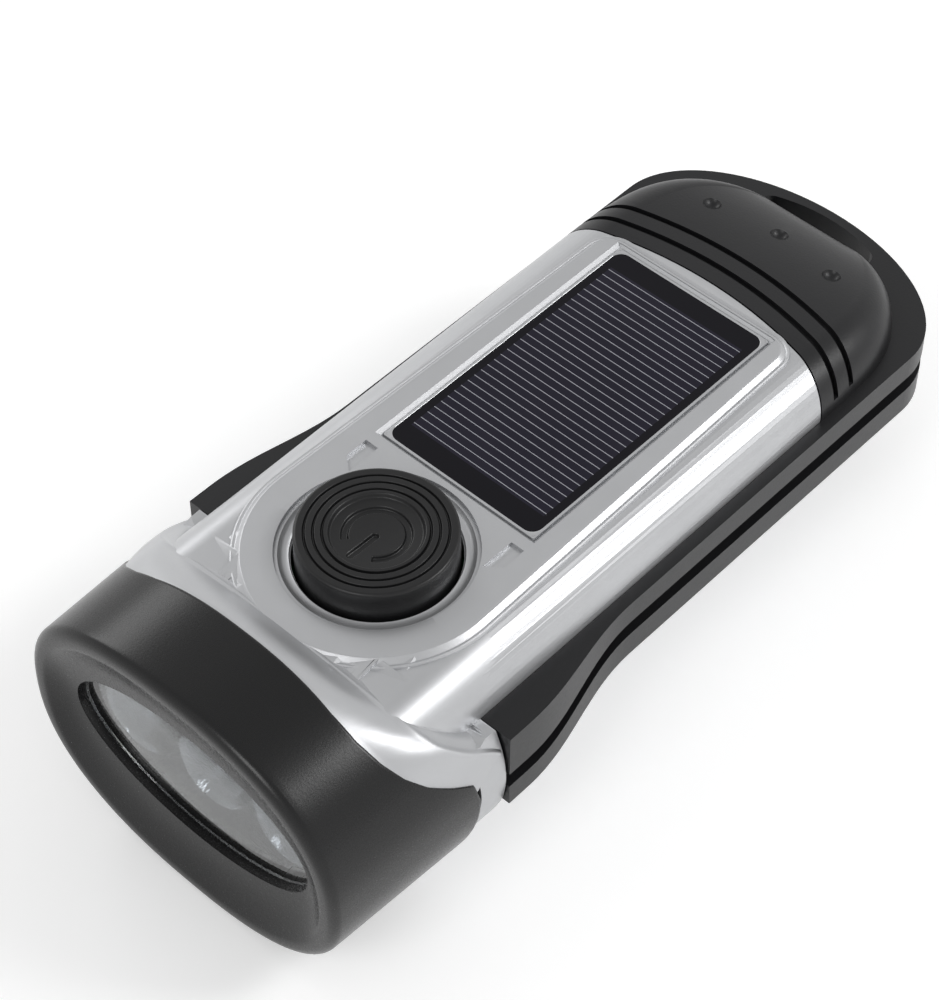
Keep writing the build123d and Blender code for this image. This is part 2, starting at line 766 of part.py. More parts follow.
def frame_side(low, high, drop):
    """Side view of a strip of the frame that runs lower at the head end."""
    rear = tail_x - 2
    front = bulkhead_x
    tangents = ((1, 0), (1, 0))
    back = ((-1, 0), (-1, 0))
    return Curve() + [
        Line((rear, low), (flare_start_x, low)),
        Spline((flare_start_x, low), (flare_end_x, low - drop), tangents=tangents),
        Line((flare_end_x, low - drop), (front, low - drop)),
        Line((front, low - drop), (front, high - drop)),
        Line((front, high - drop), (flare_end_x, high - drop)),
        Spline((flare_end_x, high - drop), (flare_start_x, high), tangents=back),
        Line((flare_start_x, high), (rear, high)),
        Line((rear, high), (rear, low)),
    ]


def frame_ring():
    """The frame's wall round the shells, before it is parted, without the flange."""
    front = collar_back_x - gap
    outer = plan(frame_outline(0, front), frame_bottom_z - frame_drop, frame_top_z)
    inner_w = tongue_half_w + 0.2
    wall_front = front + 2
    inner = box(top_rear_x - 3 - gap, wall_front, -inner_w, inner_w, 0, far)
    inner += box(rear_silver_x + 2 - gap, wall_front, -inner_w, inner_w, 0, split_z + 0.2)
    shape = outer - inner
    low_drop = side(frame_side(frame_bottom_z - 20, frame_bottom_z, frame_drop), far)
    return shape - low_drop


def groove_cutter():
    """Side groove all round, cut into the outer face only."""
    strip = side(frame_side(groove_z - groove_h / 2, groove_z + groove_h / 2, groove_drop), far)
    core = plan(frame_outline(groove_depth, collar_back_x + 3), 0, far)
    return strip - core


def tail_slot(z0, z1):
    """Curved slot for a lanyard."""
    centre = slot_x + slot_r
    a0 = 180 - slot_half_angle
    outer_r, inner_r = slot_r + slot_w / 2, slot_r - slot_w / 2
    c, s = math.cos(math.radians(a0)), math.sin(math.radians(a0))
    ends = {}
    for y_sign in (1, -1):
        ends[y_sign] = [(centre + r * c, y_sign * r * s) for r in (inner_r, outer_r)]
    round_x = centre + slot_r * c + slot_w / 2 * s
    round_y = slot_r * s - slot_w / 2 * c
    outline = Curve() + [
        ThreePointArc(ends[1][1], (centre - outer_r, 0), ends[-1][1]),
        ThreePointArc(ends[-1][1], (round_x, -round_y), ends[-1][0]),
        ThreePointArc(ends[-1][0], (centre - inner_r, 0), ends[1][0]),
        ThreePointArc(ends[1][0], (round_x, round_y), ends[1][1]),
    ]
    return plan(outline, z0, z1)


def tail_dome(inset):
    """Tail cap that carries on the shape of the top shell and rounds off to the flange."""
    faces = []
    for t in (0.97, 0.88, 0.7, 0.4, 0.0):
        half_w = (body_half_w - inset) * (1 - t**2.6) ** (1 / 2.6)
        rise = (body_top_z - frame_top_z - inset) * math.sqrt(1 - t**2)
        x = top_rear_x - t * (cap_length - inset)
        faces.append(top_section(half_w, frame_top_z + rise, x, frame_top_z - flange_t))
    rear = loft(faces)
    full = top_section(body_half_w - inset, body_top_z - inset, top_rear_x, frame_top_z - flange_t)
    front = extrude(full, amount=top_rear_side_x - top_rear_x + 8, dir=(1, 0, 0))
    return rear + front


def cap_grooves():
    """Two thin grooves across the tail cap, arcs like the shell's rear edge."""
    cuts = None
    for back in (3.2, 7.0):
        region = rear_arc_region(top_rear_x - back, top_rear_side_x - back, 0)
        wider = rear_arc_region(top_rear_x - back - cap_groove_w, top_rear_side_x - back - cap_groove_w, 0)
        cut = plan(wider, frame_top_z + 2.2, far) - plan(region, frame_top_z + 1, far + 1)
        cuts = cut if cuts is None else cuts + cut
    return cuts


def make_frame_upper():
    ring = frame_ring() & side(frame_side(groove_z, far, groove_drop), far)
    front = collar_back_x - gap
    rim = plan(frame_outline(0, front), frame_top_z - flange_t, frame_top_z)
    rim &= box(-far, top_rear_x - 3 - gap, -far, far, 0, far)
    dome = tail_dome(0) - plan(rear_arc_region(top_rear_x - gap, top_rear_side_x - gap, 0), 0, far)
    room = tail_dome(shell_wall) & box(-far, 0, -far, far, frame_top_z - 1, far)
    body = ring + rim + dome
    body -= room
    body -= cap_grooves() - tail_dome(cap_groove_depth)
    body -= groove_cutter()
    body -= tail_slot(0, 60)
    body -= dimples()
    body -= box(-far, pocket_front_x + gap, -pocket_half_w - 2, pocket_half_w + 2, 0, pocket_roof_z + gap)
    return body


def dimples():
    """Three shallow round dimples in a row across the tail cap."""
    cuts = None
    for y, x in ((-12.0, -56.4), (0.0, -58.6), (12.0, -56.4)):
        t = (top_rear_x - x) / cap_length
        z = frame_top_z + (body_top_z - frame_top_z) * math.sqrt(1 - t**2)
        cut = Location((x, y, z + dimple_r * 0.45)) * Sphere(dimple_r)
        cuts = cut if cuts is None else cuts + cut
    return cuts


def make_frame_lower():
    parted = side(frame_side(-far, groove_z - fit, groove_drop), far)
    body = frame_ring() & parted
    body -= groove_cutter()
    body -= tail_slot(0, 60)
    body -= box(slot_x + slot_w / 2 - 0.2, pocket_front_x, -notch_half_w, notch_half_w, 0, far)
    body -= box(tail_x - 1, slot_x, -notch_half_w, notch_half_w, 0, frame_bottom_z + 2.0)
    return body


# ---------------------------------------------------------------- knob pocket
def make_knob_pocket():
    """Box that the knob folds into, open to the outside and towards the tail."""
    front = pocket_front_x
    rear = slot_x + slot_w / 2 + 1.5
    half = pocket_half_w + pocket_wall
    low_front = back_low_z + pocket_skirt
    outline = Polyline(
        (front, low_front),
        (front, pocket_roof_z),
        (rear, pocket_roof_z),
        (rear, frame_bottom_z),
        (rear_silver_x, frame_bottom_z - 1.5),
        (front, low_front),
    )
    shape = side(outline, half)
    inner_front = front - pocket_wall
    return shape - box(rear - 1, inner_front, -pocket_half_w, pocket_half_w, 0, pocket_roof_z - pocket_wall)


# ---------------------------------------------------------------- crank
def make_crank_rotor():
    """Ribbed disc with the domed boss, its shaft reaching to the gear plate."""
    face_z = disc_face_z
    body = upright(disc_r, disc_x, 0, face_z, face_z + disc_t)
    pitch = (disc_r - 3.5) / disc_groove_count
    for i in range(disc_groove_count):
        r = disc_r - 1.0 - i * pitch
        groove = upright(r, disc_x, 0, face_z - 1, face_z + 0.8)
        body -= groove - upright(r - pitch * 0.5, disc_x, 0, face_z - 2, face_z + 2)
    boss = upright(boss_r, boss_x, 0, boss_top_z, face_z + 1)
    boss = fillet(boss.edges().sort_by(Axis.Z)[0], 2.6)
    body += boss
    body += upright(shaft_r, disc_x, 0, face_z + 1, gear_bottom_z + gear_w + 0.2)
    body += upright(shaft_thin_r, disc_x, 0, gear_bottom_z + 1, plate_top_z)
    body -= along_y(pin_r + snug, pin_x, pin_z, -boss_r - 1, boss_r + 1)
    for y in (-9.6, 9.6):
        body -= upright(screw_r + 0.5, disc_x + 4.5, y, 0, face_z + 1.4)
    return body


def make_rotor_screws():
    screws = []
    for y in (-9.6, 9.6):
        one = screw(1.0, screw_r + 0.4, screw_r * 0.6, 1.0)
        screws.append(Location((disc_x + 4.5, y, ring_face_z + 1.55)) * (one & box(-3, 3, -3, 3, -1.2, 0.0)))
    return Compound(children=screws)


def make_hinge_pin():
    return along_y(pin_r, pin_x, pin_z, -arm_half_w + 0.3, arm_half_w - 0.3)


def arm_side():
    """Side view of the arm: straight from the hinge, then bent towards the body."""
    half_t = arm_t / 2
    run = arm_bend_x - arm_tip_x
    angle = math.asin(run / arm_bend_r)
    centre_z = pin_z + arm_bend_r

    def at(r, a):
        return (arm_bend_x - r * math.sin(a), centre_z - r * math.cos(a))

    outer_r, inner_r = arm_bend_r + half_t, arm_bend_r - half_t
    return Curve() + [
        ThreePointArc((pin_x, pin_z - half_t), (pin_x + half_t, pin_z), (pin_x, pin_z + half_t)),
        Line((pin_x, pin_z + half_t), (arm_bend_x, pin_z + half_t)),
        ThreePointArc(at(inner_r, 0), at(inner_r, angle / 2), at(inner_r, angle)),
        Line(at(inner_r, angle), at(outer_r, angle)),
        ThreePointArc(at(outer_r, angle), at(outer_r, angle / 2), at(outer_r, 0)),
        Line((arm_bend_x, pin_z - half_t), (pin_x, pin_z - half_t)),
    ]


def knob_seat():
    """Wedge on the arm that brings the knob's base level."""
    x0, x1 = knob_x - knob_half_l, knob_x + knob_half_l
    top = knob_base_z - gap
    low0 = pin_z + arm_height(x0)
    low1 = pin_z + arm_height(x1)
    return side(Polyline((x0, low0), (x1, low1), (x1, top), (x0, top), (x0, low0)), knob_half_w - 1.0)


def make_crank_arm():
    """Flat arm with an arched opening that lets the rotor's boss through."""
    blank = side(arm_side(), far)
    tip = arm_tip_x - 1
    outline = make_face(
        Polyline(
            (tip, -arm_tip_half_w),
            (pin_x + arm_t, -arm_half_w),
            (pin_x + arm_t, arm_half_w),
            (tip, arm_tip_half_w),
            (tip, -arm_tip_half_w),
        )
    )
    outline = fillet(outline.vertices().sort_by(Axis.X)[:2], 4.0)
    arm = blank & Location((0, 0, -20)) * extrude(outline, amount=60)
    arch = upright(arch_half_w, boss_x, 0, -far, far)
    arch += box(boss_x, pin_x + arm_t, -arch_half_w, arch_half_w, -far, far)
    arm -= arch
    arm -= along_y(pin_r + fit, pin_x, pin_z, -far, far)
    arm += knob_seat()
    arm -= upright(knob_axle_r + snug, knob_x, 0, 0, knob_base_z)
    return arm


def make_crank_knob():
    half = Rectangle(2 * knob_half_l, 2 * knob_half_w)
    half = fillet(half.vertices(), knob_corner_r)
    knob = Location((knob_x, 0, knob_base_z)) * extrude(half, amount=knob_top_z - knob_base_z)
    knob = fillet(knob.faces().sort_by(Axis.Z)[-1].edges(), 1.2)
    knob -= upright(knob_axle_r + fit, knob_x, 0, 0, knob_top_z - 2)
    return knob


def make_knob_axle():
    low = pin_z + arm_height(knob_x) - arm_t / 2 + 0.6
    return upright(knob_axle_r, knob_x, 0, low, knob_top_z - 2.5)


# ---------------------------------------------------------------- gear train
def involute(angle):
    return math.tan(angle) - angle


def gear(teeth, module, addendum, x, z0, z1, turn):
    """Spur gear with straight-sided steps along true involutes, thinned for backlash."""
    pitch_r = module * teeth / 2
    base_r = pitch_r * math.cos(math.radians(20))
    tip_r = pitch_r + addendum * module
    root_r = pitch_r - 1.25 * module
    half_pitch = math.pi / (2 * teeth) - backlash / (4 * pitch_r) + involute(math.radians(20))

    def half_angle(r):
        return half_pitch - involute(math.acos(min(1.0, base_r / max(r, base_r))))

    radii = [root_r, max(root_r, base_r), (max(root_r, base_r) + tip_r) / 2, tip_r]
    points = []
    for i in range(teeth):
        middle = 2 * math.pi * i / teeth + math.radians(turn)
        flank = [(r, half_angle(r)) for r in radii]
        flank[0] = (root_r, half_angle(base_r) + 0.02)
        for r, a in flank:
            points.append((r * math.cos(middle - a), r * math.sin(middle - a)))
        for r, a in reversed(flank):
            points.append((r * math.cos(middle + a), r * math.sin(middle + a)))
    face = make_face(Polyline(*points, points[0]))
    return Location((x, 0, z0)) * extrude(face, amount=z1 - z0)


def make_drive_gear():
    """Large gear that runs on the rotor's shaft, with the free-wheel's ratchet ring inside."""
    z1 = gear_bottom_z + gear_w
    body = gear(drive_teeth, gear_module, 0.75, disc_x, gear_bottom_z, z1, 0)
    ratchet = []
    for i in range(ratchet_teeth):
        a0 = 2 * math.pi * i / ratchet_teeth
        a1 = 2 * math.pi * (i + 1) / ratchet_teeth
        ratchet.append((ratchet_tip_r * math.cos(a0), ratchet_tip_r * math.sin(a0)))
        ratchet.append((ratchet_root_r * math.cos(a1), ratchet_root_r * math.sin(a1)))
    hollow = extrude(make_face(Polyline(*ratchet, ratchet[0])), amount=gear_w - 1.0 + 1)
    body -= Location((disc_x, 0, gear_bottom_z - 1)) * hollow
    body -= upright(shaft_r + 2 * fit, disc_x, 0, 0, far)
    web = upright(drive_pitch_r - 2.6, disc_x, 0, 0, gear_bottom_z + 0.9)
    web -= upright(ratchet_root_r + 1.6, disc_x, 0, 0, far)
    return body - web


def make_ratchet_pawls():
    """Sprung pawl ring on the rotor's shaft: two curved fingers that trail along the ratchet."""
    z0, z1 = gear_bottom_z + 0.1, gear_bottom_z + gear_w - 1.3
    ring = upright(shaft_r + 0.9, disc_x, 0, z0, z1) - upright(shaft_r + fit, disc_x, 0, 0, far)
    tip = ratchet_tip_r - 0.25
    start = shaft_r + 0.5
    for turn in (0, 180):
        finger = Curve() + [
            ThreePointArc((start, 0), (start * 0.9, 4.2), (0.5, tip)),
            Line((0.5, tip), (0.5, tip - 0.7)),
            ThreePointArc((0.5, tip - 0.7), (start * 0.72, 3.7), (start - 0.6, 0)),
            Line((start - 0.6, 0), (start, 0)),
        ]
        one = extrude(make_face(finger), amount=z1 - z0)
        ring += Location((disc_x, 0, z0)) * Rot(0, 0, turn) * one
    return ring - upright(shaft_r + fit, disc_x, 0, 0, far)


def make_compound_gear():
    half_turn = 180 / compound_pinion_teeth
    low = gear_bottom_z
    body = gear(compound_pinion_teeth, gear_module, 0.8, compound_x, low, compound_z + 0.5, half_turn)
    body += gear(compound_teeth, fine_module, 0.75, compound_x, compound_z, compound_z + 2.0, 0)
    return body - upright(axle_r + fit, compound_x, 0, 0, far)


def make_gear_axle():
    return upright(axle_r, compound_x, 0, back_low_z + shell_wall + 0.2, plate_top_z)


def make_gear_plate():
    body = box(plate_rear_x, plate_front_x, -plate_half_w, plate_half_w, plate_z, plate_top_z)
    body = fillet(body.edges().filter_by(Axis.Z), 3)
    body -= upright(shaft_thin_r + fit, disc_x, 0, 0, far)
    body -= upright(axle_r + fit / 2, compound_x, 0, 0, far)
    body -= upright(axle_r + 0.6, generator_x, 0, 0, far)
    for x, y in plate_screw_places():
        body -= upright(screw_r + fit, x, y, 0, far)
    return body


def make_plate_screws():
    screws = []
    for x, y in plate_screw_places():
        one = Rot(180, 0, 0) * screw(plate_t + 5.0, screw_head_r, screw_r - fit, screw_head_t)
        screws.append(Location((x, y, plate_top_z)) * one)
    return Compound(children=screws)


def make_generator_pinion():
    half_turn = 180 / pinion_teeth
    body = gear(pinion_teeth, fine_module, 0.75, generator_x, compound_z - 0.3, compound_z + 2.4, half_turn)
    return body - upright(axle_r, generator_x, 0, 0, far)


def make_generator_rotor():
    shaft = upright(axle_r, generator_x, 0, compound_z - 0.3, plate_top_z + can_h - can_wall)
    return shaft + upright(magnet_r, generator_x, 0, plate_top_z + 1.6, plate_top_z + can_h - 1.8)


def make_generator_can():
    z0, z1 = plate_top_z, plate_top_z + can_h
    body = upright(can_r, generator_x, 0, z0, z1)
    body -= upright(can_r - can_wall, generator_x, 0, z0 + can_wall, z1 - can_wall)
    body -= upright(axle_r + fit, generator_x, 0, 0, z1 - can_wall + 0.1)
    return body


def make_generator_coil():
    z0, z1 = plate_top_z + can_wall + 0.3, plate_top_z + can_h - can_wall - 0.3
    ring = upright(coil_outer_r, generator_x, 0, z0, z1)
    return ring - upright(coil_inner_r, generator_x, 0, z0 - 1, z1 + 1)


# ---------------------------------------------------------------- battery
def make_battery_cells():
    cells = []
    for i in range(cell_count):
        y0 = (i - cell_count / 2) * cell_l
        cells.append(along_y(cell_r, cell_x, cell_z, y0 + 0.05, y0 + cell_l - 0.05))
    return Compound(children=cells)


def make_battery_tray():
    half_l = cell_count * cell_l / 2 + clip_t + 0.4
    half_w = cell_r + 0.6
    low = cell_z - cell_r - tray_wall
    body = box(cell_x - half_w, cell_x + half_w, -half_l - tray_wall, half_l + tray_wall, low, cell_z - 1)
    body -= along_y(cell_r + 0.15, cell_x, cell_z, -half_l, half_l)
    return body


def make_battery_clips():
    clips = []
    for y_sign in (-1, 1):
        y0 = cell_count * cell_l / 2 + 0.1
        low, high = sorted((y_sign * y0, y_sign * (y0 + clip_t)))
        clips.append(box(cell_x - 3, cell_x + 3, low, high, cell_z - 5, cell_z + 6))
    return Compound(children=clips)


# ---------------------------------------------------------------- writing
def main():
    makers = {
        "head_bezel": make_bezel,
        "lens": make_lens,
        "lens_seal": make_lens_seal,
        "reflector": make_reflector,
        "led_board": make_led_board,
        "leds": make_leds,
        "head_screws": make_head_screws,
        "top_shell": make_top_shell,
        "back_shell": make_back_shell,
        "solar_panel": make_solar_panel,
        "button_cap": make_button_cap,
        "button_stem": make_button_stem,
        "main_board": make_main_board,
        "board_screws": make_board_screws,
        "push_switch": make_push_switch,
        "switch_plunger": make_switch_plunger,
        "frame_upper": make_frame_upper,
        "frame_lower": make_frame_lower,
        "knob_pocket": make_knob_pocket,
        "crank_rotor": make_crank_rotor,
        "rotor_screws": make_rotor_screws,
        "hinge_pin": make_hinge_pin,
        "crank_arm": make_crank_arm,
        "crank_knob": make_crank_knob,
        "knob_axle": make_knob_axle,
        "drive_gear": make_drive_gear,
        "ratchet_pawls": make_ratchet_pawls,
        "compound_gear": make_compound_gear,
        "gear_axle": make_gear_axle,
        "gear_plate": make_gear_plate,
        "plate_screws": make_plate_screws,
        "generator_pinion": make_generator_pinion,
        "generator_rotor": make_generator_rotor,
        "generator_can": make_generator_can,
        "generator_coil": make_generator_coil,
        "battery_cells": make_battery_cells,
        "battery_tray": make_battery_tray,
        "battery_clips": make_battery_clips,
    }
    for name, make in makers.items():
        export_step(make(), f"parts/{name}.step")


main()
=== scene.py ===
"""Looks of a hand crank flashlight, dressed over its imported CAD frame.

Sizes are in millimetres until a mesh is made. +X points to the lamp head, +Z to the solar side.
"""

from __future__ import annotations

import logging
import math
from dataclasses import dataclass
from enum import Enum

import bmesh
import bpy
import numpy as np
from mathutils import Matrix, Vector


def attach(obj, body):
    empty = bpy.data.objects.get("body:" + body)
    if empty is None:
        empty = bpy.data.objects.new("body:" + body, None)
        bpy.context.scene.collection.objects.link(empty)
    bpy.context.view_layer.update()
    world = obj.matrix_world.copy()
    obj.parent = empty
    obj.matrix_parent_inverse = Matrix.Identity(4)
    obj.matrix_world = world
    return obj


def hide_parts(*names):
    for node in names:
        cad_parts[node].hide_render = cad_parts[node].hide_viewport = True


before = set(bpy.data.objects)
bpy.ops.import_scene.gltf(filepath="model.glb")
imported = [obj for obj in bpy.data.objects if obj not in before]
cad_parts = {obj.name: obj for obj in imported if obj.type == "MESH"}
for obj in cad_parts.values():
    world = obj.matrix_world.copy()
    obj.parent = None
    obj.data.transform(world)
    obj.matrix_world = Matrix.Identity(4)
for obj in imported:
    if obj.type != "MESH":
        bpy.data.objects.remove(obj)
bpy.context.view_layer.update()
LOG = logging.getLogger("flashlight")
MM = 0.001
NodeTree = bpy.types.NodeTree
Mesh = bpy.types.Object


# ------------------------------------------------------------------ node and mesh helpers
def linear(code: str) -> tuple[float, float, float, float]:
    """Turns an sRGB hex colour into Blender's linear one.

    Args:
        code: Six hex digits after a hash sign.

    Returns:
        Red, green, blue and an alpha of 1.
    """
    part = np.array([int(code[i : i + 2], 16) / 255 for i in (1, 3, 5)])
    value = np.where(part <= 0.04045, part / 12.92, ((part + 0.055) / 1.055) ** 2.4)
    return (*map(float, value), 1.0)


def add_node(tree: NodeTree, kind: str, settings: dict | None = None, **inputs: object) -> bpy.types.Node:
    """Adds a shader node with its settings and links.

    Args:
        tree: Node tree of the material.
        kind: Blender's node type.
        settings: Attributes to set on the node.
        inputs: Socket name with spaces as underscores, or _0, _1 for a socket by number. A node gives its first
            output, a (node, name) pair a named one, and anything else is a value.

    Returns:
        The new node.
    """
    node = tree.nodes.new(kind)
    for key, value in (settings or {}).items():
        setattr(node, key, value)
    for key, value in inputs.items():
        socket = node.inputs[int(key[1:])] if key[0] == "_" else node.inputs[key.replace("_", " ")]
        if isinstance(value, bpy.types.Node):
            tree.links.new(value.outputs[0], socket)
        elif isinstance(value, tuple) and value and isinstance(value[0], bpy.types.Node):
            tree.links.new(value[0].outputs[value[1]], socket)
        else:
            socket.default_value = value
    return node


def sheet_mesh(name: str, grid: np.ndarray, wrap_u: bool = True, wrap_v: bool = False, sharp: float = 32.0) -> Mesh:
    """Makes one object from a grid of points, with a quad between each four neighbours.

    Args:
        name: Piece name.
        grid: Points in millimetres, shaped (u, v, 3).
        wrap_u: Whether the last row of u joins the first.
        wrap_v: Whether the last column of v joins the first.
        sharp: Angle in degrees past which an edge stays sharp.

    Returns:
        The new object, linked to the scene.
    """
    nu, nv = grid.shape[:2]
    u = np.arange(nu if wrap_u else nu - 1)
    v = np.arange(nv if wrap_v else nv - 1)
    a, b = (m.ravel() for m in np.meshgrid(u, v, indexing="ij"))
    a1, b1 = (a + 1) % nu, (b + 1) % nv
    quads = np.stack([a * nv + b, a1 * nv + b, a1 * nv + b1, a * nv + b1], axis=1)
    return mesh_from(name, grid.reshape(-1, 3), quads, sharp)


def mesh_from(name: str, points: np.ndarray, faces: np.ndarray, sharp: float = 32.0) -> Mesh:
    """Makes an object from points and equal-sided faces, merged where points meet and facing outwards.

    Args:
        name: Piece name.
        points: Points in millimetres, shaped (n, 3).
        faces: Point numbers of each face.
        sharp: Angle in degrees past which an edge stays sharp.

    Returns:
        The new object, linked to the scene.
    """
    key = np.round(points / 1e-4).astype(np.int64)
    _, first, same = np.unique(key, axis=0, return_index=True, return_inverse=True)
    rings = [list(dict.fromkeys(face)) for face in same.reshape(-1)[faces].tolist()]
    mesh = bpy.data.meshes.new(name)
    mesh.from_pydata((points[first] * MM).tolist(), [], [ring for ring in rings if len(ring) > 2])
    mesh.validate()
    solid = bmesh.new()
    solid.from_mesh(mesh)
    bmesh.ops.recalc_face_normals(solid, faces=solid.faces)
    solid.to_mesh(mesh)
    solid.free()
    mesh.polygons.foreach_set("use_smooth", np.ones(len(mesh.polygons), dtype=bool))
    mesh.set_sharp_from_angle(angle=math.radians(sharp))
    obj = bpy.data.objects.new(name, mesh)
    bpy.context.scene.collection.objects.link(obj)
    return obj


def lathe(profile: np.ndarray, centre: tuple[float, float], steps: int = 96) -> np.ndarray:
    """Carries a profile of (radius, z) round an upright axis: x = cx + r cos a, y = cy + r sin a."""
    angle = np.linspace(0, 2 * np.pi, steps, endpoint=False)[:, None]
    r, z = profile[:, 0][None, :], profile[:, 1][None, :]
    return np.stack([centre[0] + r * np.cos(angle), centre[1] + r * np.sin(angle), z + 0 * angle], axis=2)


def superellipse(angle: np.ndarray, half_w: np.ndarray, half_h: np.ndarray, power: float) -> tuple:
    """Oval with y = w |cos a|^(2/n) and z = h |sin a|^(2/n), each with the sign of its cosine or sine."""
    c, s = np.cos(angle), np.sin(angle)
    e = 2 / power
    return half_w * np.sign(c) * np.abs(c) ** e, half_h * np.sign(s) * np.abs(s) ** e


def smooth(x: np.ndarray) -> np.ndarray:
    """Smooth step of a clipped 0 to 1 value, 3x^2 - 2x^3."""
    x = np.clip(x, 0, 1)
    return x * x * (3 - 2 * x)


# ------------------------------------------------------------------ finishes
class Grain(Enum):
    """How fine a moulded or sprayed surface is, as its noise scale per metre."""

    FINE = 2600.0
    SPRAYED = 1500.0
    COARSE = 900.0


@dataclass(frozen=True)
class Finish:
    """One real surface: its colour, gloss and grain.

    Attributes:
        name: Common name of the material and process.
        colour: sRGB hex colour.
        roughness: Microfacet roughness.
        metallic: 1 for bare metal, less for metallic paint.
        coat: Weight of a clear coat.
        specular: Strength of the plain reflection, 0.5 for common plastics.
        grain: Size of the surface grain.
        bump: Height of the grain, in tenths of a millimetre.
        mottle: Share by which the colour drifts over some 8 mm.
        slot: Material slot of the record that the finish belongs to; not used.
    """

    name: str
    colour: str
    roughness: float
    slot: str
    metallic: float = 0.0
    coat: float = 0.0
    specular: float = 0.5
    grain: Grain = Grain.FINE
    bump: float = 0.12
    mottle: float = 0.06

    def build(self) -> bpy.types.Material:
        """Makes the material from Object coordinates: drifting colour, uneven gloss and a fine raised grain."""
        material = bpy.data.materials.new(self.name)
        material.use_nodes = True
        tree = material.node_tree
        tree.nodes.clear()
        place = (add_node(tree, "ShaderNodeTexCoord"), "Object")
        drift = add_node(tree, "ShaderNodeTexNoise", Vector=place, Scale=120.0, Detail=3.0)
        speck = add_node(tree, "ShaderNodeTexNoise", Vector=place, Scale=self.grain.value, Detail=2.0)
        base = np.array(linear(self.colour))
        tints = [tuple(np.clip(base * np.array([k, k, k, 1.0]), 0, 1)) for k in (1 - self.mottle, 1 + self.mottle)]
        colour = add_node(tree, "ShaderNodeMix", {"data_type": "RGBA"}, _0=drift, _6=tints[0], _7=tints[1])
        low, high = self.roughness * 0.88, min(1.0, self.roughness * 1.14)
        gloss = add_node(tree, "ShaderNodeMapRange", Value=speck, To_Min=low, To_Max=high)
        raised = add_node(tree, "ShaderNodeBump", Strength=self.bump, Distance=0.0001, Height=speck)
        shader = add_node(
            tree,
            "ShaderNodeBsdfPrincipled",
            Base_Color=(colour, "Result"),
            Metallic=self.metallic,
            Roughness=(gloss, "Result"),
            Specular_IOR_Level=self.specular,
            Coat_Weight=self.coat,
            Coat_Roughness=0.12,
            Normal=raised,
        )
        add_node(tree, "ShaderNodeOutputMaterial", Surface=shader)
        return material


# ABS sprayed with metallic silver: pale, with broad soft reflections and a faint sparkle.
SILVER = Finish("sprayed silver ABS", "#bfc0c2", 0.38, "silver_paint", metallic=0.7, grain=Grain.SPRAYED, bump=0.06)
# Moulded and polished black ABS of the head: deep, with a soft highlight.
HEAD_BLACK = Finish("satin black ABS", "#0e0e0f", 0.27, "black_gloss_plastic", specular=0.4, bump=0.08)
# Moulded black ABS of the bumper frame: even fine grain.
FRAME_BLACK = Finish("grained black ABS", "#161618", 0.38, "black_plastic", specular=0.4, bump=0.14)
# Dark grey ABS of the knob and its pocket.
KNOB_GREY = Finish("dark grey ABS", "#232427", 0.40, "grey_plastic", specular=0.4, bump=0.14)
# Silicone rubber: matt, soft sheen.
RUBBER = Finish("moulded silicone rubber", "#161617", 0.36, "black_rubber", specular=0.4, grain=Grain.COARSE, bump=0.08)
# Vacuum metallised plastic: mirror-like.
CHROME = Finish("vacuum metallised plastic", "#8a8c90", 0.14, "chromed_plastic", metallic=1.0, bump=0.0, mottle=0.01)
# Cast epoxy of the lamps: milky white.
LAMP = Finish("cast epoxy", "#f3f2e6", 0.12, "lamp_resin", coat=1.0, bump=0.0)
# Moulded acetal of gears and plungers.
ACETAL = Finish("moulded acetal", "#e4e2d8", 0.38, "white_plastic")
# Lacquered glass epoxy board.
BOARD = Finish("lacquered glass epoxy", "#1f6b3a", 0.30, "circuit_board", coat=0.4)
# Zinc plated steel of screws.
ZINC = Finish("zinc plated steel", "#b9bcc0", 0.28, "zinc_screw", metallic=1.0, bump=0.03)
# Ground steel pins.
STEEL = Finish("ground steel", "#c2c4c6", 0.22, "steel_pin", metallic=1.0, bump=0.03)
BRASS = Finish("cut brass", "#c9a552", 0.25, "brass_gear", metallic=1.0, bump=0.03)
# Enamelled copper wire.
COPPER = Finish("enamelled copper wire", "#b3622e", 0.25, "copper_winding", metallic=1.0, coat=0.6)
NICKEL = Finish("nickel plated steel", "#c6c8ca", 0.2, "cell_can", metallic=1.0, bump=0.02)


@dataclass(frozen=True)
class ClearAcrylic:
    """Polished clear acrylic of the lens."""

    name: str = "polished acrylic"
    slot: str = "clear_lens"

    def build(self) -> bpy.types.Material:
        """Makes a clear refracting material with a faint waviness from moulding."""
        material = bpy.data.materials.new(self.name)
        material.use_nodes = True
        tree = material.node_tree
        tree.nodes.clear()
        place = (add_node(tree, "ShaderNodeTexCoord"), "Object")
        wave = add_node(tree, "ShaderNodeTexNoise", Vector=place, Scale=90.0, Detail=1.0)
        raised = add_node(tree, "ShaderNodeBump", Strength=0.03, Distance=0.001, Height=wave)
        shader = add_node(
            tree,
            "ShaderNodeBsdfPrincipled",
            Base_Color=linear("#f4f7f8"),
            Roughness=0.02,
            IOR=1.49,
            Transmission_Weight=1.0,
            Normal=raised,
        )
        add_node(tree, "ShaderNodeOutputMaterial", Surface=shader)
        return material


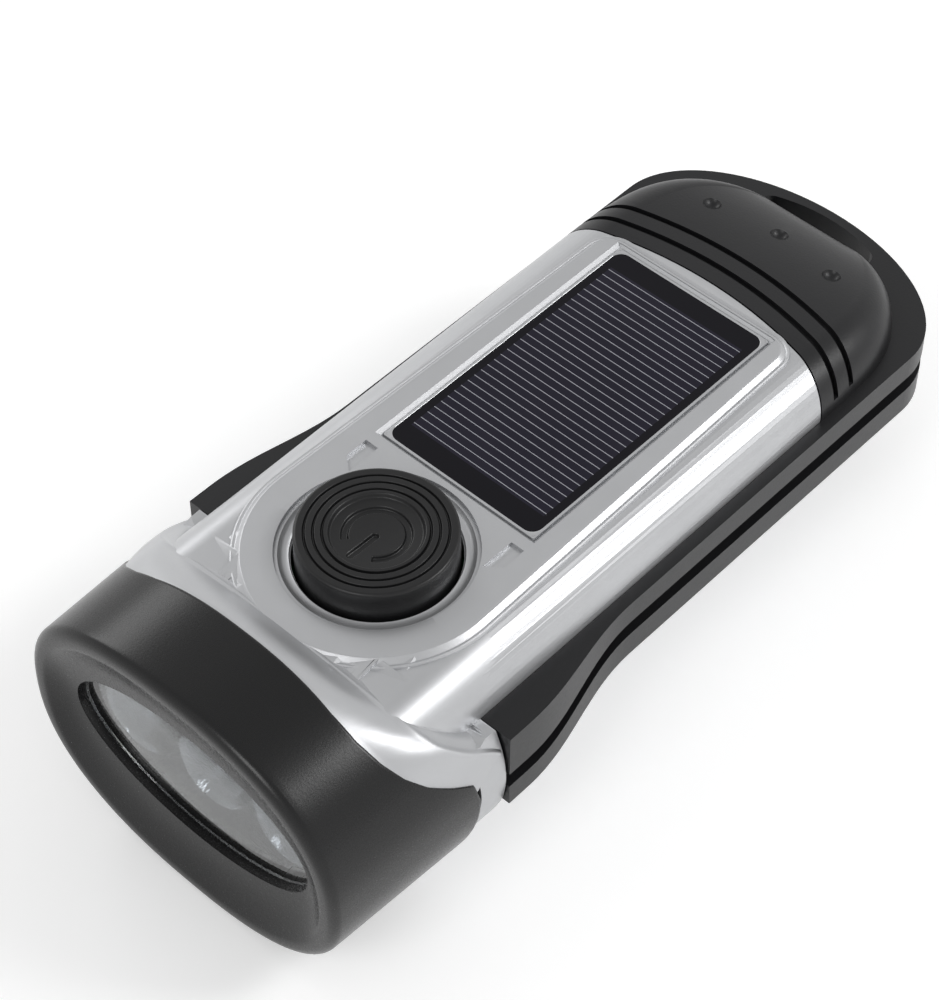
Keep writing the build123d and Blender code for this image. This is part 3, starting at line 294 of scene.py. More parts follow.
@dataclass(frozen=True)
class CupsWithPaintedShade:
    """Reflector plate: bright metal inside its cups, and a dark colour between them as painted shade of the head's
    inside.
    """

    name: str = "cup metal with painted shade"
    slot: str = "chromed_plastic"

    def build(self) -> bpy.types.Material:
        """Mixes a dark colour for painted shade and bright metal by the piece's attribute bare."""
        material = bpy.data.materials.new(self.name)
        material.use_nodes = True
        tree = material.node_tree
        tree.nodes.clear()
        place = (add_node(tree, "ShaderNodeTexCoord"), "Object")
        cloud = add_node(tree, "ShaderNodeTexNoise", Vector=place, Scale=400.0, Detail=2.0)
        metal = (add_node(tree, "ShaderNodeAttribute", {"attribute_name": "bare"}), "Fac")
        mixes = {"data_type": "RGBA"}
        coated = add_node(tree, "ShaderNodeMix", mixes, _0=cloud, _6=linear("#6c6e72"), _7=linear("#7d7f83"))
        # painted shade: the plate between the cups gets a near black colour for the shade inside the head
        plain = add_node(tree, "ShaderNodeMix", mixes, _0=cloud, _6=linear("#1c1c1e"), _7=linear("#242426"))
        colour = add_node(tree, "ShaderNodeMix", mixes, _0=metal, _6=(plain, "Result"), _7=(coated, "Result"))
        shader = add_node(
            tree, "ShaderNodeBsdfPrincipled", Base_Color=(colour, "Result"), Metallic=metal, Roughness=0.16
        )
        add_node(tree, "ShaderNodeOutputMaterial", Surface=shader)
        return material


@dataclass(frozen=True)
class SolarCell:
    """Silicon cell under cast resin with printed silver fingers.

    Attributes:
        centre_x: Middle of the cell along the light, in mm.
        pitch: Spacing of the fingers, in mm.
        line: Width of a finger, in mm, drawn a little coarser than the real print so that it shows.
        half_l: Half length that the fingers cover, in mm.
        half_w: Half length of a finger, in mm.
    """

    centre_x: float = -10.25
    pitch: float = 1.46
    line: float = 0.13
    half_l: float = 22.5
    half_w: float = 13.1
    name: str = "resin cast silicon cell"
    slot: str = "solar_cell"

    def build(self) -> bpy.types.Material:
        """Makes the cell: fingers where the place along X, wrapped by the pitch, lies within half a line."""
        material = bpy.data.materials.new(self.name)
        material.use_nodes = True
        tree = material.node_tree
        tree.nodes.clear()
        place = (add_node(tree, "ShaderNodeTexCoord"), "Object")
        axes = add_node(tree, "ShaderNodeSeparateXYZ", Vector=place)

        def calc(what: str, a: object, b: object = 0.0) -> bpy.types.Node:
            """One maths node."""
            return add_node(tree, "ShaderNodeMath", {"operation": what}, _0=a, _1=b)

        along = calc("SUBTRACT", (axes, "X"), self.centre_x * MM)
        wrapped = calc("PINGPONG", along, self.pitch * MM / 2)
        finger = calc("LESS_THAN", wrapped, self.line * MM / 2)
        inside_l = calc("LESS_THAN", calc("ABSOLUTE", along), self.half_l * MM)
        inside_w = calc("LESS_THAN", calc("ABSOLUTE", (axes, "Y")), self.half_w * MM)
        field = calc("MULTIPLY", inside_l, inside_w)
        mask = calc("MULTIPLY", finger, field)
        cloud = add_node(tree, "ShaderNodeTexNoise", Vector=place, Scale=60.0, Detail=2.0)
        silicon = add_node(
            tree, "ShaderNodeMix", {"data_type": "RGBA"}, _0=cloud, _6=linear("#1c1b26"), _7=linear("#26242f")
        )
        body = add_node(
            tree, "ShaderNodeMix", {"data_type": "RGBA"}, _0=field, _6=linear("#131217"), _7=(silicon, "Result")
        )
        colour = add_node(
            tree, "ShaderNodeMix", {"data_type": "RGBA"}, _0=mask, _6=(body, "Result"), _7=linear("#a0a1a8")
        )
        shader = add_node(
            tree,
            "ShaderNodeBsdfPrincipled",
            Base_Color=(colour, "Result"),
            Roughness=0.32,
            Specular_IOR_Level=0.12,
        )
        add_node(tree, "ShaderNodeOutputMaterial", Surface=shader)
        return material


class Dresser:
    """Keeps one material for each finish and puts it on pieces and CAD nodes."""

    def __init__(self) -> None:
        """Starts with no material made."""
        self.made: dict[object, bpy.types.Material] = {}

    def coat(self, obj: Mesh, finish: object) -> None:
        """Gives an object its finish as its only material.

        Args:
            obj: Piece or CAD node.
            finish: Any of the finish classes.
        """
        if finish not in self.made:
            self.made[finish] = finish.build()
        obj.data.materials.clear()
        obj.data.materials.append(self.made[finish])

    def add_piece(self, obj: Mesh, finish: object, body: str, *nodes: str) -> Mesh:
        """Finishes a new piece, makes it ride on a body and stand for CAD nodes.

        Args:
            obj: The piece.
            finish: Its finish.
            body: The CAD body that it moves with.
            nodes: CAD nodes that it replaces.

        Returns:
            The piece.
        """
        self.coat(obj, finish)
        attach(obj, body)
        if nodes:
            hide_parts(*nodes)
        LOG.info("piece %s on %s, %d faces", obj.name, body, len(obj.data.polygons))
        return obj


# ------------------------------------------------------------------ head
@dataclass
class Head:
    """Oval black head with its dished opening, the lens and the inside of the lamp.

    Attributes are millimetres: the rim's plane, half sizes at the collar and at the rim, and the opening's ellipse.
    """

    front_x: float = 73.75
    collar_x: float = 40.4
    mid_z: float = 23.53
    back_half: tuple[float, float] = (32.0, 23.8)
    front_half: tuple[float, float] = (30.6, 23.3)
    power: float = 2.36
    sweep_r: float = 28.2
    lip_r: float = 1.6
    open_half: tuple[float, float] = (23.3, 12.0)
    open_x: float = 71.45
    steps: int = 360
    plate_x: float = 66.35
    plate_half: tuple[float, float] = (25.3, 12.6)
    plate_drop: float = 0.9
    cup_r: float = 7.3
    cup_pitch: float = 14.4
    cup_depth: float = 10.5
    lamp_r: float = 3.1

    def section(self, angle: np.ndarray, x: np.ndarray, inset: np.ndarray) -> np.ndarray:
        """Point on the tapering oval at each angle, place along X and inset."""
        t = (x - self.collar_x) / (self.front_x - self.collar_x)
        half_w = self.back_half[0] + t * (self.front_half[0] - self.back_half[0]) - inset
        half_h = self.back_half[1] + t * (self.front_half[1] - self.back_half[1]) - inset
        y, z = superellipse(angle, half_w, half_h, self.power)
        return np.stack([x + 0 * angle, y, self.mid_z + z], axis=-1)

    def edge_x(self, rise: np.ndarray) -> np.ndarray:
        """Where the bezel ends at each height over the middle: nearly flat on top, swept back at the sides."""
        heights = [0.0, 4.4, 6.8, 9.7, 12.9, 15.9, 18.7, 21.0, 23.9]
        return np.interp(rise, heights, [45.5, 46.6, 50.1, 53.7, 56.5, 58.3, 59.3, 59.4, 58.8])

    def collar(self) -> Mesh:
        """Silver band from the bezel's edge down to the ridge, and over the ridge to the body.

        For each angle the band blends from its edge point B to the ridge point R as B + t (R - B) with a bulge of
        0.5 sin(pi t), then rounds over R by fixed steps backwards and inwards.
        """
        turn = np.linspace(4, 176, 260)
        angle = np.radians(turn)[:, None]
        rise = superellipse(angle[:, 0], 1.0, self.back_half[1], self.power)[1]
        start = self.section(angle, (self.edge_x(rise) - 0.2)[:, None] + 0 * angle, 0.25 + 0 * angle)
        near = np.minimum(turn, 180 - turn)
        marks = [0.0, 8.0, 20.0, 33.0, 48.0, 62.0, 76.0, 90.0]
        x = np.interp(near, marks, [40.6, 41.6, 46.4, 50.2, 51.9, 52.4, 52.3, 52.2])
        y = np.interp(near, marks, [31.6, 31.2, 30.2, 28.0, 24.2, 17.8, 9.0, 0.0]) * np.where(turn < 90, 1, -1)
        z = np.interp(near, marks, [28.6, 30.4, 33.4, 36.8, 39.6, 41.1, 41.5, 41.6])
        ridge = np.stack([x, y, z], axis=1)
        soft = np.ones(15) / 15
        padded = np.pad(ridge, ((7, 7), (0, 0)), mode="edge")
        ridge = np.stack([np.convolve(padded[:, k], soft, mode="valid") for k in range(3)], axis=1)[:, None, :]
        t = np.linspace(0, 1, 12)[None, :, None]
        band = start + t * (ridge - start)
        band[:, :, 2] += 0.5 * np.sin(np.pi * t[:, :, 0])
        inward = np.array([0.0, 1.0, 1.0]) * (np.array([0.0, 0.0, 30.0]) - ridge) / 20.0
        over = np.array([[-0.25, 0.03], [-0.45, 0.12], [-0.6, 0.35], [-1.0, 0.75], [-1.8, 1.2], [-2.6, 1.8]])
        back = ridge + over[None, :, :1] * np.array([1.0, 0.0, 0.0]) + over[None, :, 1:] * inward
        lead = start + np.array([[[0.6, 0.0, 0.0]]])
        under = np.concatenate([back[:, -1:], lead], axis=1) + 1.6 * np.concatenate([inward, inward], axis=1)
        return sheet_mesh(
            "collar_band", np.concatenate([lead, band, back, under], axis=1), wrap_u=False, wrap_v=True, sharp=40.0
        )

    def bezel(self) -> Mesh:
        """Outer wall, rounded rim, dish and throat of the bezel as one surface.

        The back edge at each angle lies on a circle seen from the side, x = front - sqrt(R^2 - z^2). The dish runs from
        the rim's inner edge to the opening's ellipse in a slightly hollow curve.
        """
        angle = np.linspace(0, 2 * np.pi, self.steps, endpoint=False)[:, None]
        edge = self.section(angle[:, 0], np.full(self.steps, 50.0), np.zeros(self.steps))
        rise = edge[:, 2] - self.mid_z
        back = np.where(rise > 0, self.edge_x(rise), self.front_x - np.sqrt(self.sweep_r**2 - rise**2))[:, None]
        straight = self.front_x - self.lip_r
        wall_t = np.linspace(0, 1, 14)[None, :]
        inner = self.section(angle, back + np.array([[5.0, 0.35, 0.06]]), np.array([[1.9, 1.9, 1.7]]))
        bead = self.section(angle, back + np.array([[0.0, 0.04, 0.2]]), np.array([[0.3, 0.12, 0.0]]))
        wall = self.section(angle, back + 0.5 + (straight - back - 0.5) * wall_t, 0 * wall_t)
        turn = np.linspace(0.12, 1, 8)[None, :] * np.pi / 2
        lip = self.section(angle, straight + self.lip_r * np.sin(turn), self.lip_r * (1 - np.cos(turn)))
        flat = self.section(angle, np.full((1, 1), self.front_x), np.full((1, 1), self.lip_r + 1.0))
        start = self.section(angle, np.full((1, 1), self.front_x - 0.12), np.full((1, 1), self.lip_r + 1.4))
        oval_y, oval_z = superellipse(angle, self.open_half[0], self.open_half[1], 2.0)
        end = np.stack([np.full_like(angle, self.open_x), oval_y, self.mid_z + oval_z], axis=-1)
        t = np.linspace(0, 1, 16)[None, :, None]
        dish = start * (1 - t) + end * t
        dish[:, :, 0] -= 0.35 * np.sin(np.pi * t[:, :, 0])
        throat = np.repeat(end, 3, axis=1)
        throat[:, :, 0] += np.array([[-0.15, -0.4, -2.0]])
        pull = np.array([[0.0, 0.1, 0.1]])[:, :, None]
        throat[:, :, 1:] -= pull * np.sign(throat[:, :, 1:] - np.array([0.0, self.mid_z]))
        grid = np.concatenate([inner, bead, wall, lip, flat, dish, throat], axis=1)
        return sheet_mesh("bezel_shell", grid, sharp=50.0)

    def lens(self) -> Mesh:
        """Clear window: a flat back and a front that bulges by h (1 - r^2), closed at its rim."""
        angle = np.linspace(0, 2 * np.pi, 160, endpoint=False)[:, None]
        r = np.linspace(0, 1, 18)[None, :]
        half_w, half_h = self.open_half[0] - 0.15, self.open_half[1] - 0.15

        def face(ratio: np.ndarray, x: np.ndarray) -> np.ndarray:
            """Ellipse rings at given ratios."""
            y, z = half_w * ratio * np.cos(angle), half_h * ratio * np.sin(angle)
            return np.stack([x + 0 * angle, y, self.mid_z + z], axis=-1)

        front = face(r, 70.0 + 1.0 * (1 - r**2))
        back = face(r[:, ::-1], 68.0 + 0.5 * (1 - r[:, ::-1] ** 2))
        return sheet_mesh("lens_window", np.concatenate([front, back], axis=1), sharp=40.0)

    def cups(self) -> Mesh:
        """Reflector plate with three fluted cups, bright metal inside the cups and a plain dark colour between them as
        painted shade.

        Depth falls from the nearest cup's rim as d (1 - (r / R)^2), with flutes of 0.12 mm along the wall, and the
        plate between the cups drops 1.2 mm behind the rims. The attribute bare is 1 inside a cup and 0 on the painted
        shade between.
        """
        u = np.linspace(-1, 1, 300)[:, None]
        v = np.linspace(-1, 1, 130)[None, :]
        y = self.plate_half[0] * u + 0 * v
        z = self.plate_half[1] * v * np.sqrt(np.clip(1 - u**2, 0, 1))
        mids = np.array([-self.cup_pitch, 0.0, self.cup_pitch])
        reach = np.hypot(y[..., None] - mids, z[..., None])
        near = reach.min(axis=-1)
        mid = mids[reach.argmin(axis=-1)]
        turn = np.arctan2(z, y - mid)
        hollow = np.clip(1 - (near / self.cup_r) ** 2, 0, 1)
        flute = 0.12 * np.abs(np.cos(14 * turn)) * smooth(hollow * 6)
        foot = 1 - (self.lamp_r / self.cup_r) ** 2
        dip = np.minimum(hollow, foot) * self.cup_depth + flute
        fall = self.plate_drop * smooth((near - self.cup_r - 0.25) / 1.4)
        x = self.plate_x - dip - fall
        front = np.stack([x, y, self.mid_z + z], axis=-1)
        back = front[:, ::-1].copy()
        back[..., 0] -= 0.5
        obj = sheet_mesh("lamp_cups", np.concatenate([front, back], axis=1), wrap_u=False, wrap_v=True, sharp=40.0)
        place = np.empty(len(obj.data.vertices) * 3)
        obj.data.vertices.foreach_get("co", place)
        place = place.reshape(-1, 3) / MM
        gap = np.abs(place[:, 1:2] - mids).min(axis=1)
        bare = smooth((self.cup_r + 0.2 - np.hypot(gap, place[:, 2] - self.mid_z)) / 0.1)
        obj.data.attributes.new("bare", "FLOAT", "POINT").data.foreach_set("value", bare.astype(np.float32))
        return obj

    def dress(self, dresser: Dresser) -> None:
        """Builds the head's pieces and gives the CAD nodes their finishes."""
        dresser.add_piece(self.bezel(), HEAD_BLACK, "body", "head_bezel")
        dresser.add_piece(self.collar(), SILVER, "body")
        dresser.add_piece(self.lens(), ClearAcrylic(), "body", "lens")
        # the cups' material paints the plate between the cups dark as painted shade
        dresser.add_piece(self.cups(), CupsWithPaintedShade(), "body", "reflector")
        dresser.coat(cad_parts["leds"], LAMP)


# ------------------------------------------------------------------ button
@dataclass
class Button:
    """Rubber power button with raised rings, a dished middle and a plain power symbol."""

    x: float = 33.0
    top_z: float = 45.6
    radius: float = 11.9
    land: float = 7.4
    dish_r: float = 6.9
    dish_depth: float = 1.0
    ring_h: float = 0.5
    arc_r: float = 4.6
    stroke: float = 0.5

    def height(self, x: np.ndarray, y: np.ndarray) -> np.ndarray:
        """Height below the top: ring grooves by radius, a shallow dish, and the symbol by distance to its strokes."""
        r = np.hypot(x, y)
        pitch = (self.radius - 0.6 - self.land) / 3
        phase = ((self.radius - 0.5 - r) / pitch) % 1.0
        groove = smooth((phase - 0.62) / 0.12) * (1 - smooth((phase - 0.88) / 0.12))
        ringed = -self.ring_h * groove * (r > self.land - 0.1) * (r < self.radius - 0.4)
        dish = -self.dish_depth * (1 - smooth((r - self.dish_r + 0.35) / 0.5)) * (1 - 0.35 * (r / self.dish_r) ** 2)
        turn = np.arctan2(y, x)
        arc = np.where(np.abs(turn) > 0.62, np.abs(r - self.arc_r), 9.0)
        bar = np.hypot(y, np.maximum(np.abs(x - self.arc_r * 0.62) - 2.5, 0))
        line = np.minimum(arc, bar)
        symbol = -0.5 * (1 - smooth((line - self.stroke + 0.15) / 0.3))
        return ringed + dish + symbol

    def cap(self) -> Mesh:
        """Cap on a polar grid: z = top + height(r, a), then a rounded shoulder and a side wall down to the well."""
        angle = np.linspace(0, 2 * np.pi, 300, endpoint=False)[:, None]
        r = np.concatenate([np.linspace(0.0, 7.6, 84), np.linspace(7.65, self.radius - 0.5, 70)])[None, :]
        x, y = r * np.cos(angle), r * np.sin(angle)
        top = np.stack([self.x + x, y, self.top_z + self.height(x, y)], axis=-1)
        turn = np.linspace(0.15, 1, 6)[None, :] * np.pi / 2
        edge_r = self.radius - 0.5 + 0.5 * np.sin(turn)
        edge_z = self.top_z - 0.5 + 0.5 * np.cos(turn)
        side_r = np.array([[self.radius, self.radius + 0.1]])
        side_z = np.array([[self.top_z - 2.0, 36.6]])
        rim_r = np.concatenate([edge_r, side_r], axis=1)
        rim_z = np.concatenate([edge_z, side_z], axis=1)
        rim = np.stack([self.x + rim_r * np.cos(angle), rim_r * np.sin(angle), rim_z + 0 * angle], axis=-1)
        return sheet_mesh("button_skin", np.concatenate([top, rim], axis=1), sharp=70.0)

    def dress(self, dresser: Dresser) -> None:
        """Builds the button's cap in place of the CAD cap."""
        dresser.add_piece(self.cap(), RUBBER, "button", "button_cap")


# ------------------------------------------------------------------ shells
@dataclass
class Shells:
    """Details on the silver shells: the ring round the button and the solar panel's slab."""

    button_x: float = 33.0
    well_r: float = 14.85
    plateau_z: float = 41.6
    panel_x: tuple[float, float] = (-36.75, 16.25)
    panel_half_w: float = 14.75
    panel_top: float = 41.2
    plateau_r: float = 19.6
    plateau_rear: tuple[float, float, float] = (-37.85, 18.2, 3.5)
    plateau_corner: float = 3.5

    def top_skin(self) -> Mesh:
        """Top shell with the raised part behind the collar let down to the body: z = min(z, h(y)), |y| <= half width.

        The height h(y) is the plateau within the plateau's half width and a quarter ellipse over the shoulder beyond.
        """
        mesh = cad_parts["top_shell"].data.copy()
        mesh.name = "top_skin"
        merged = bmesh.new()
        merged.from_mesh(mesh)
        bmesh.ops.remove_doubles(merged, verts=merged.verts, dist=1e-6)
        merged.to_mesh(mesh)
        merged.free()
        place = np.empty(len(mesh.vertices) * 3)
        mesh.vertices.foreach_get("co", place)
        x, y, z = place.reshape(-1, 3).T / MM
        over = np.clip((np.abs(y) - 19.0) / 7.6, 0, 1)
        skin = 32.7 + 7.9 * (1 - over**2.2) ** 0.62
        ring = np.hypot(x - self.button_x, y) < self.plateau_r + 0.01
        limit = np.where(x > 52.4, np.minimum(skin, 40.0), np.where(ring, self.plateau_z, skin))
        front = (x > 40.0) & (z > 33.0) & (z > limit + 0.02)
        y = np.where(front, np.clip(y, -26.6, 26.6), y)
        z = np.where(front, np.minimum(z, limit), z)
        mesh.vertices.foreach_set("co", (np.stack([x, y, z], axis=1) * MM).ravel())
        mesh.update()
        mesh.polygons.foreach_set("use_smooth", np.ones(len(mesh.polygons), dtype=bool))
        mesh.set_sharp_from_angle(angle=math.radians(9.0))
        obj = bpy.data.objects.new("top_skin", mesh)
        bpy.context.scene.collection.objects.link(obj)
        return obj

    def front_skin(self) -> Mesh:
        """Smooth body skin between the plateau and the collar, closed by a copy 0.5 mm lower.

        For each y, x runs from the circle x = c + sqrt(17^2 - y^2) round the button to the collar, and z is flat within
        19 mm of the middle and 32.7 + 7.9 (1 - s^2.2)^0.62 over the shoulder beyond.
        """
        y = np.linspace(-26.6, 26.6, 220)[:, None]
        t = np.linspace(0, 1, 24)[None, :]
        first = self.button_x + np.sqrt(np.clip(17.0**2 - y**2, 0, None))
        x = first + t * (52.6 - np.clip((np.abs(y) - 20) / 6.6, 0, 1) ** 2 * 7.0 - first)
        over = np.clip((np.abs(y) - 19.0) / 7.6, 0, 1)
        z = 32.7 + 7.9 * (1 - over**2.2) ** 0.62 + 0.05 + 0 * t
        top = np.stack([x, y + 0 * t, z], axis=-1)
        low = top[:, ::-1] - np.array([0.0, 0.0, 0.5])
        return sheet_mesh("front_skin", np.concatenate([top, low], axis=1), wrap_u=False, wrap_v=True, sharp=45.0)

    def front_field(self) -> Mesh:
        """Front of the plateau round the button: a flat ring sector of 150 degrees with a lower side 0.4 mm below."""
        angle = np.radians(np.linspace(-75, 75, 200))[:, None]
        r = np.array([[self.well_r, self.well_r, self.well_r + 0.15, 17.0, self.plateau_r - 0.1, self.plateau_r - 0.1]])
        z = np.array([[-0.4, 0.0, 0.03, 0.03, 0.03, -0.4]]) + self.plateau_z + 0 * angle
        grid = np.stack([self.button_x + r * np.cos(angle), r * np.sin(angle), z], axis=-1)
        return sheet_mesh("front_field", grid, wrap_u=False, wrap_v=True, sharp=40.0)

    def well_ring(self) -> Mesh:
        """Stepped ring on the floor of the button's well, turned from a profile of radius and height."""
        steps = [(0.02, 1.5), (0.02, 0.62), (0.3, 0.55), (0.62, 0.57), (1.05, 0.95), (1.4, 1.08), (1.95, 1.08)]
        steps += [(2.2, 1.0), (2.36, 1.12), (2.36, 1.9), (1.9, 1.95)]
        profile = np.array([(self.well_r - inward, self.plateau_z - down) for inward, down in steps])
        return sheet_mesh("well_ring", lathe(profile, (self.button_x, 0.0), 160), wrap_v=True, sharp=30.0)

    def plateau_path(self, count: int = 420) -> tuple[np.ndarray, np.ndarray]:
        """Plateau outline as points and outward normals, from its rear corner arcs, its sides and the front arc.

        The sides are the straight lines between the rear corners and the ends of the circle round the button.
        """
        rear, half, r = self.plateau_rear
        corner = self.plateau_corner
        slope = math.atan2(self.plateau_r - half, self.button_x - rear)
        front = np.linspace(-np.pi / 2 - slope, np.pi / 2 + slope, 200)
        arc = np.stack([self.button_x + self.plateau_r * np.cos(front), self.plateau_r * np.sin(front)], axis=1)
        arc_n = np.stack([np.cos(front), np.sin(front)], axis=1)
        turn = np.linspace(np.pi / 2 + slope, np.pi, 24)
        mid = np.array([rear + corner, half - corner])
        left = mid + corner * np.stack([np.cos(turn), np.sin(turn)], axis=1)
        left_n = np.stack([np.cos(turn), np.sin(turn)], axis=1)
        flip = np.array([1.0, -1.0])
        points = np.concatenate([arc, left, left[::-1] * flip])
        normals = np.concatenate([arc_n, left_n, left_n[::-1] * flip])
        return points, normals

    def plateau_trim(self) -> Mesh:
        """Sloped edge and bead round the plateau: a profile of outward offset and height along the outline."""
        points, normals = self.plateau_path()
        profile = np.array(
            [
                (-0.3, 40.0),
                (-0.3, 41.6),
                (-0.12, 41.64),
                (0.05, 41.58),
                (0.6, 40.98),
                (0.82, 40.9),
                (1.0, 41.0),
                (1.2, 41.04),
                (1.38, 40.96),
                (1.5, 40.75),
                (1.55, 40.0),
            ]
        )
        flat = points[:, None, :] + normals[:, None, :] * profile[None, :, :1]
        z = np.broadcast_to(profile[None, :, 1:], (len(points), len(profile), 1))
        return sheet_mesh("plateau_trim", np.concatenate([flat, z], axis=2), wrap_v=True, sharp=34.0)

    def panel_frame(self) -> Mesh:
        """Silver rim that rounds the corners of the panel's recess: a band from a rounded to a square rectangle."""
        angle = np.linspace(0, 2 * np.pi, 320, endpoint=False)
        mid = (self.panel_x[0] + self.panel_x[1]) / 2
        half = np.array([(self.panel_x[1] - self.panel_x[0]) / 2, self.panel_half_w])

        def outline(grow: float, radius: float) -> np.ndarray:
            """Rounded rectangle: a corner centre for each quarter of the angle plus the radius along the angle."""
            way = np.stack([np.cos(angle), np.sin(angle)], axis=1)
            side = np.where(way >= 0, 1.0, -1.0)
            return side * (half + grow - radius) + radius * way

        rings = [(0.15, 0.3, -1.0), (-0.28, 1.9, -1.0), (-0.28, 1.9, -0.02), (-0.2, 1.9, 0.04)]
        rings += [(0.02, 1.9, 0.06), (0.15, 1.4, 0.0), (0.15, 0.3, 0.0)]
        grid = np.stack(
            [
                np.concatenate([outline(grow, r), np.full((len(angle), 1), self.panel_top + rise)], axis=1)
                for grow, r, rise in rings
            ],
            axis=1,
        )
        grid[:, :, 0] += mid
        return sheet_mesh("panel_frame", grid, wrap_v=True, sharp=30.0)

    def dress(self, dresser: Dresser) -> None:
        """Builds the ring and the panel and paints the shells."""
        dresser.add_piece(self.top_skin(), SILVER, "body", "top_shell")
        dresser.coat(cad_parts["back_shell"], SILVER)
        dresser.add_piece(self.front_skin(), SILVER, "body")
        dresser.add_piece(self.front_field(), SILVER, "body")
        dresser.add_piece(self.well_ring(), SILVER, "body")
        dresser.add_piece(self.plateau_trim(), SILVER, "body")
        dresser.add_piece(self.panel_frame(), SILVER, "body")
        dresser.coat(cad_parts["solar_panel"], SolarCell())


@dataclass
class Works:
    """Frame, crank and inner works, which keep their CAD shapes."""

    def dress(self, dresser: Dresser) -> None:
        """Gives each CAD node the finish of its real material."""
        table = {
            FRAME_BLACK: ("frame_upper", "frame_lower", "crank_rotor", "crank_arm", "push_switch"),
            KNOB_GREY: ("knob_pocket", "crank_knob", "gear_plate", "battery_tray"),
            RUBBER: ("lens_seal",),
            ACETAL: ("button_stem", "switch_plunger", "drive_gear", "ratchet_pawls", "compound_gear"),
            BOARD: ("led_board", "main_board"),
            ZINC: ("head_screws", "board_screws", "rotor_screws", "plate_screws", "generator_can"),
            STEEL: ("hinge_pin", "knob_axle", "gear_axle", "generator_rotor", "battery_clips"),
            BRASS: ("generator_pinion",),
            COPPER: ("generator_coil",),
            NICKEL: ("battery_cells",),
        }
        for finish, nodes in table.items():
            for name in nodes:
                dresser.coat(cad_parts[name], finish)


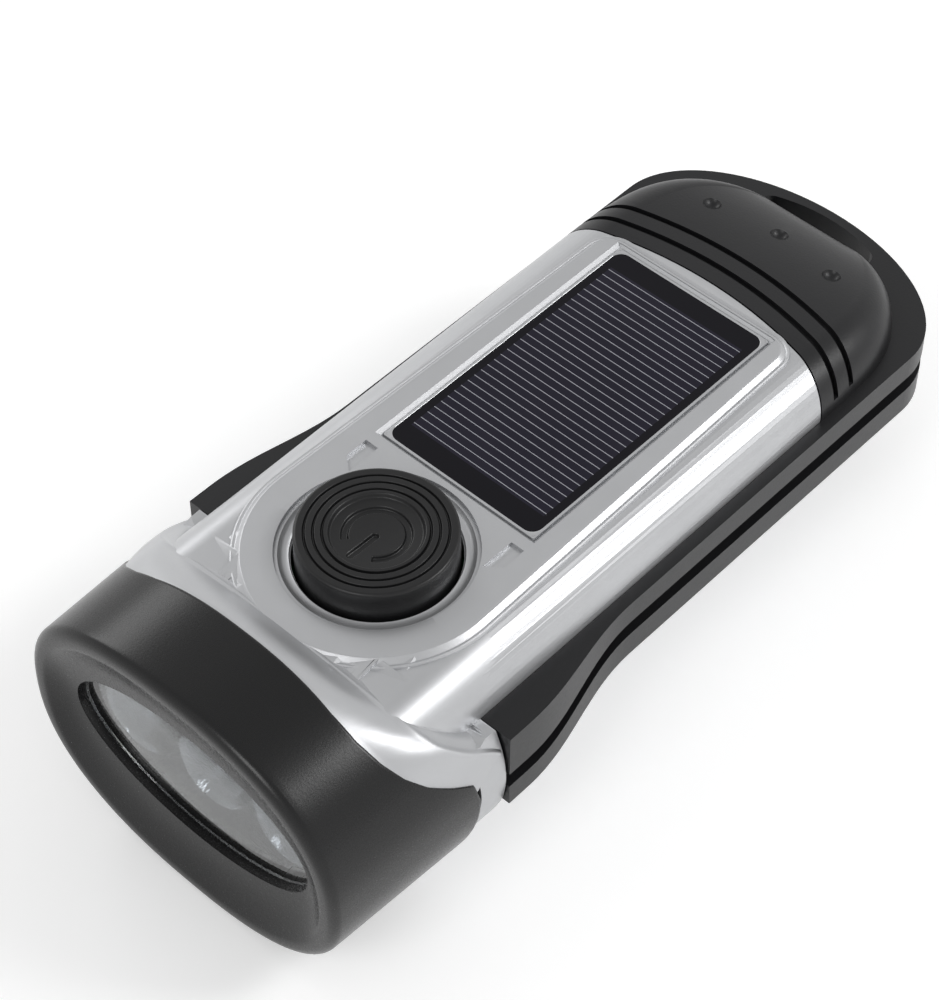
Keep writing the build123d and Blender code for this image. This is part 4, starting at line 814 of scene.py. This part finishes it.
# ------------------------------------------------------------------ stage
@dataclass
class Stage:
    """Pale floor, soft lights and the camera at the photograph's angle."""

    azimuth: float = 132.815
    elevation: float = 49.198
    distance: float = 403.7
    target: tuple[float, float, float] = (17.469, 3.443, 41.6)
    focal_px: float = 2804.56
    width_px: float = 939.0
    floor_lift: float = 0.3

    def back(self) -> Vector:
        """Unit vector from the target to the camera."""
        a, e = math.radians(self.azimuth), math.radians(self.elevation)
        return Vector((math.sin(a) * math.cos(e), -math.cos(a) * math.cos(e), math.sin(e)))

    def camera(self) -> None:
        """Places the camera on its line of sight, with the lens that the photograph's size asks for."""
        data = bpy.data.cameras.new("camera")
        data.sensor_fit = "HORIZONTAL"
        data.sensor_width = 36.0
        data.lens = self.focal_px * 36.0 / self.width_px
        data.clip_start = 0.01
        cam = bpy.data.objects.new("camera", data)
        bpy.context.scene.collection.objects.link(cam)
        back = self.back()
        a = math.radians(self.azimuth)
        right = Vector((math.cos(a), math.sin(a), 0))
        up = back.cross(right)
        turn = Matrix((right, up, back)).transposed().to_4x4()
        cam.matrix_world = Matrix.Translation((Vector(self.target) + back * self.distance) * MM) @ turn
        bpy.context.scene.camera = cam

    def lamp(self, name: str, place: tuple, size: tuple, power: float) -> None:
        """Adds an area lamp that looks at the light's middle.

        Args:
            name: Lamp name.
            place: Where it stands, in metres.
            size: Its width and height, in metres.
            power: Watts.
        """
        data = bpy.data.lights.new(name, "AREA")
        data.shape = "RECTANGLE"
        data.size, data.size_y = size
        data.energy = power
        obj = bpy.data.objects.new(name, data)
        bpy.context.scene.collection.objects.link(obj)
        obj.location = place
        obj.rotation_euler = (Vector(place) - Vector((0.01, 0, 0.03))).to_track_quat("Z", "Y").to_euler()

    def floor(self) -> None:
        """Pale floor disc under the light, with its middle raised by nothing: z = 0 over the whole grid."""
        angle = np.linspace(0, 2 * np.pi, 64, endpoint=False)[:, None]
        r = np.array([[0.0, 200.0, 900.0, 3000.0]])
        grid = np.stack([r * np.cos(angle), r * np.sin(angle), 0 * r * angle - 0.02], axis=-1)
        obj = sheet_mesh("floor", grid)
        material = bpy.data.materials.new("white paper")
        material.use_nodes = True
        tree = material.node_tree
        tree.nodes.clear()
        path = add_node(tree, "ShaderNodeLightPath")
        seen = (path, "Is Camera Ray")
        for ray in ("Is Glossy Ray", "Is Transmission Ray"):
            seen = add_node(tree, "ShaderNodeMath", {"operation": "MAXIMUM"}, _0=seen, _1=(path, ray))
        lift = add_node(tree, "ShaderNodeMath", {"operation": "MULTIPLY"}, _0=seen, _1=self.floor_lift)
        shader = add_node(
            tree,
            "ShaderNodeBsdfPrincipled",
            Base_Color=linear("#f6f6f6"),
            Roughness=0.95,
            Specular_IOR_Level=0.0,
            Emission_Color=linear("#ffffff"),
            Emission_Strength=lift,
        )
        add_node(tree, "ShaderNodeOutputMaterial", Surface=shader)
        obj.data.materials.append(material)

    def world(self) -> None:
        """Surroundings: pale at the horizon and calmer overhead for the eye and for gloss, plain for soft light."""
        world = bpy.data.worlds.new("studio")
        bpy.context.scene.world = world
        world.use_nodes = True
        tree = world.node_tree
        tree.nodes.clear()
        axes = add_node(tree, "ShaderNodeSeparateXYZ", Vector=(add_node(tree, "ShaderNodeTexCoord"), "Generated"))
        shade = add_node(tree, "ShaderNodeMapRange", Value=(axes, "Z"), From_Min=0.05, From_Max=0.9, To_Min=1.0, To_Max=0.55)
        path = add_node(tree, "ShaderNodeLightPath")
        seen = (path, "Is Camera Ray")
        for ray in ("Is Glossy Ray", "Is Transmission Ray"):
            seen = add_node(tree, "ShaderNodeMath", {"operation": "MAXIMUM"}, _0=seen, _1=(path, ray))
        level = add_node(tree, "ShaderNodeMix", {"data_type": "FLOAT"}, _0=seen, _2=0.45, _3=(shade, "Result"))
        sky = add_node(tree, "ShaderNodeBackground", Color=linear("#ffffff"), Strength=level)
        add_node(tree, "ShaderNodeOutputWorld", Surface=sky)

    def build(self) -> None:
        """Sets up the floor, the world, the lamps and the camera."""
        bpy.context.scene.view_settings.view_transform = "Standard"
        self.floor()
        self.world()
        self.lamp("key", (-0.42, 0.5, 0.62), (0.3, 0.3), 2.8)
        self.lamp("head_side", (0.75, 0.1, 0.75), (0.4, 0.4), 2.2)
        self.lamp("left", (-0.1, -0.8, 0.5), (0.5, 0.3), 1.4)
        self.camera()


def main() -> None:
    logging.basicConfig(level=logging.INFO, format="%(name)s: %(message)s")
    dresser = Dresser()
    for group in (Works(), Shells(), Head(), Button()):
        LOG.info("group %s", type(group).__name__)
        group.dress(dresser)
    Stage().build()


if __name__ == "__main__":
    main()
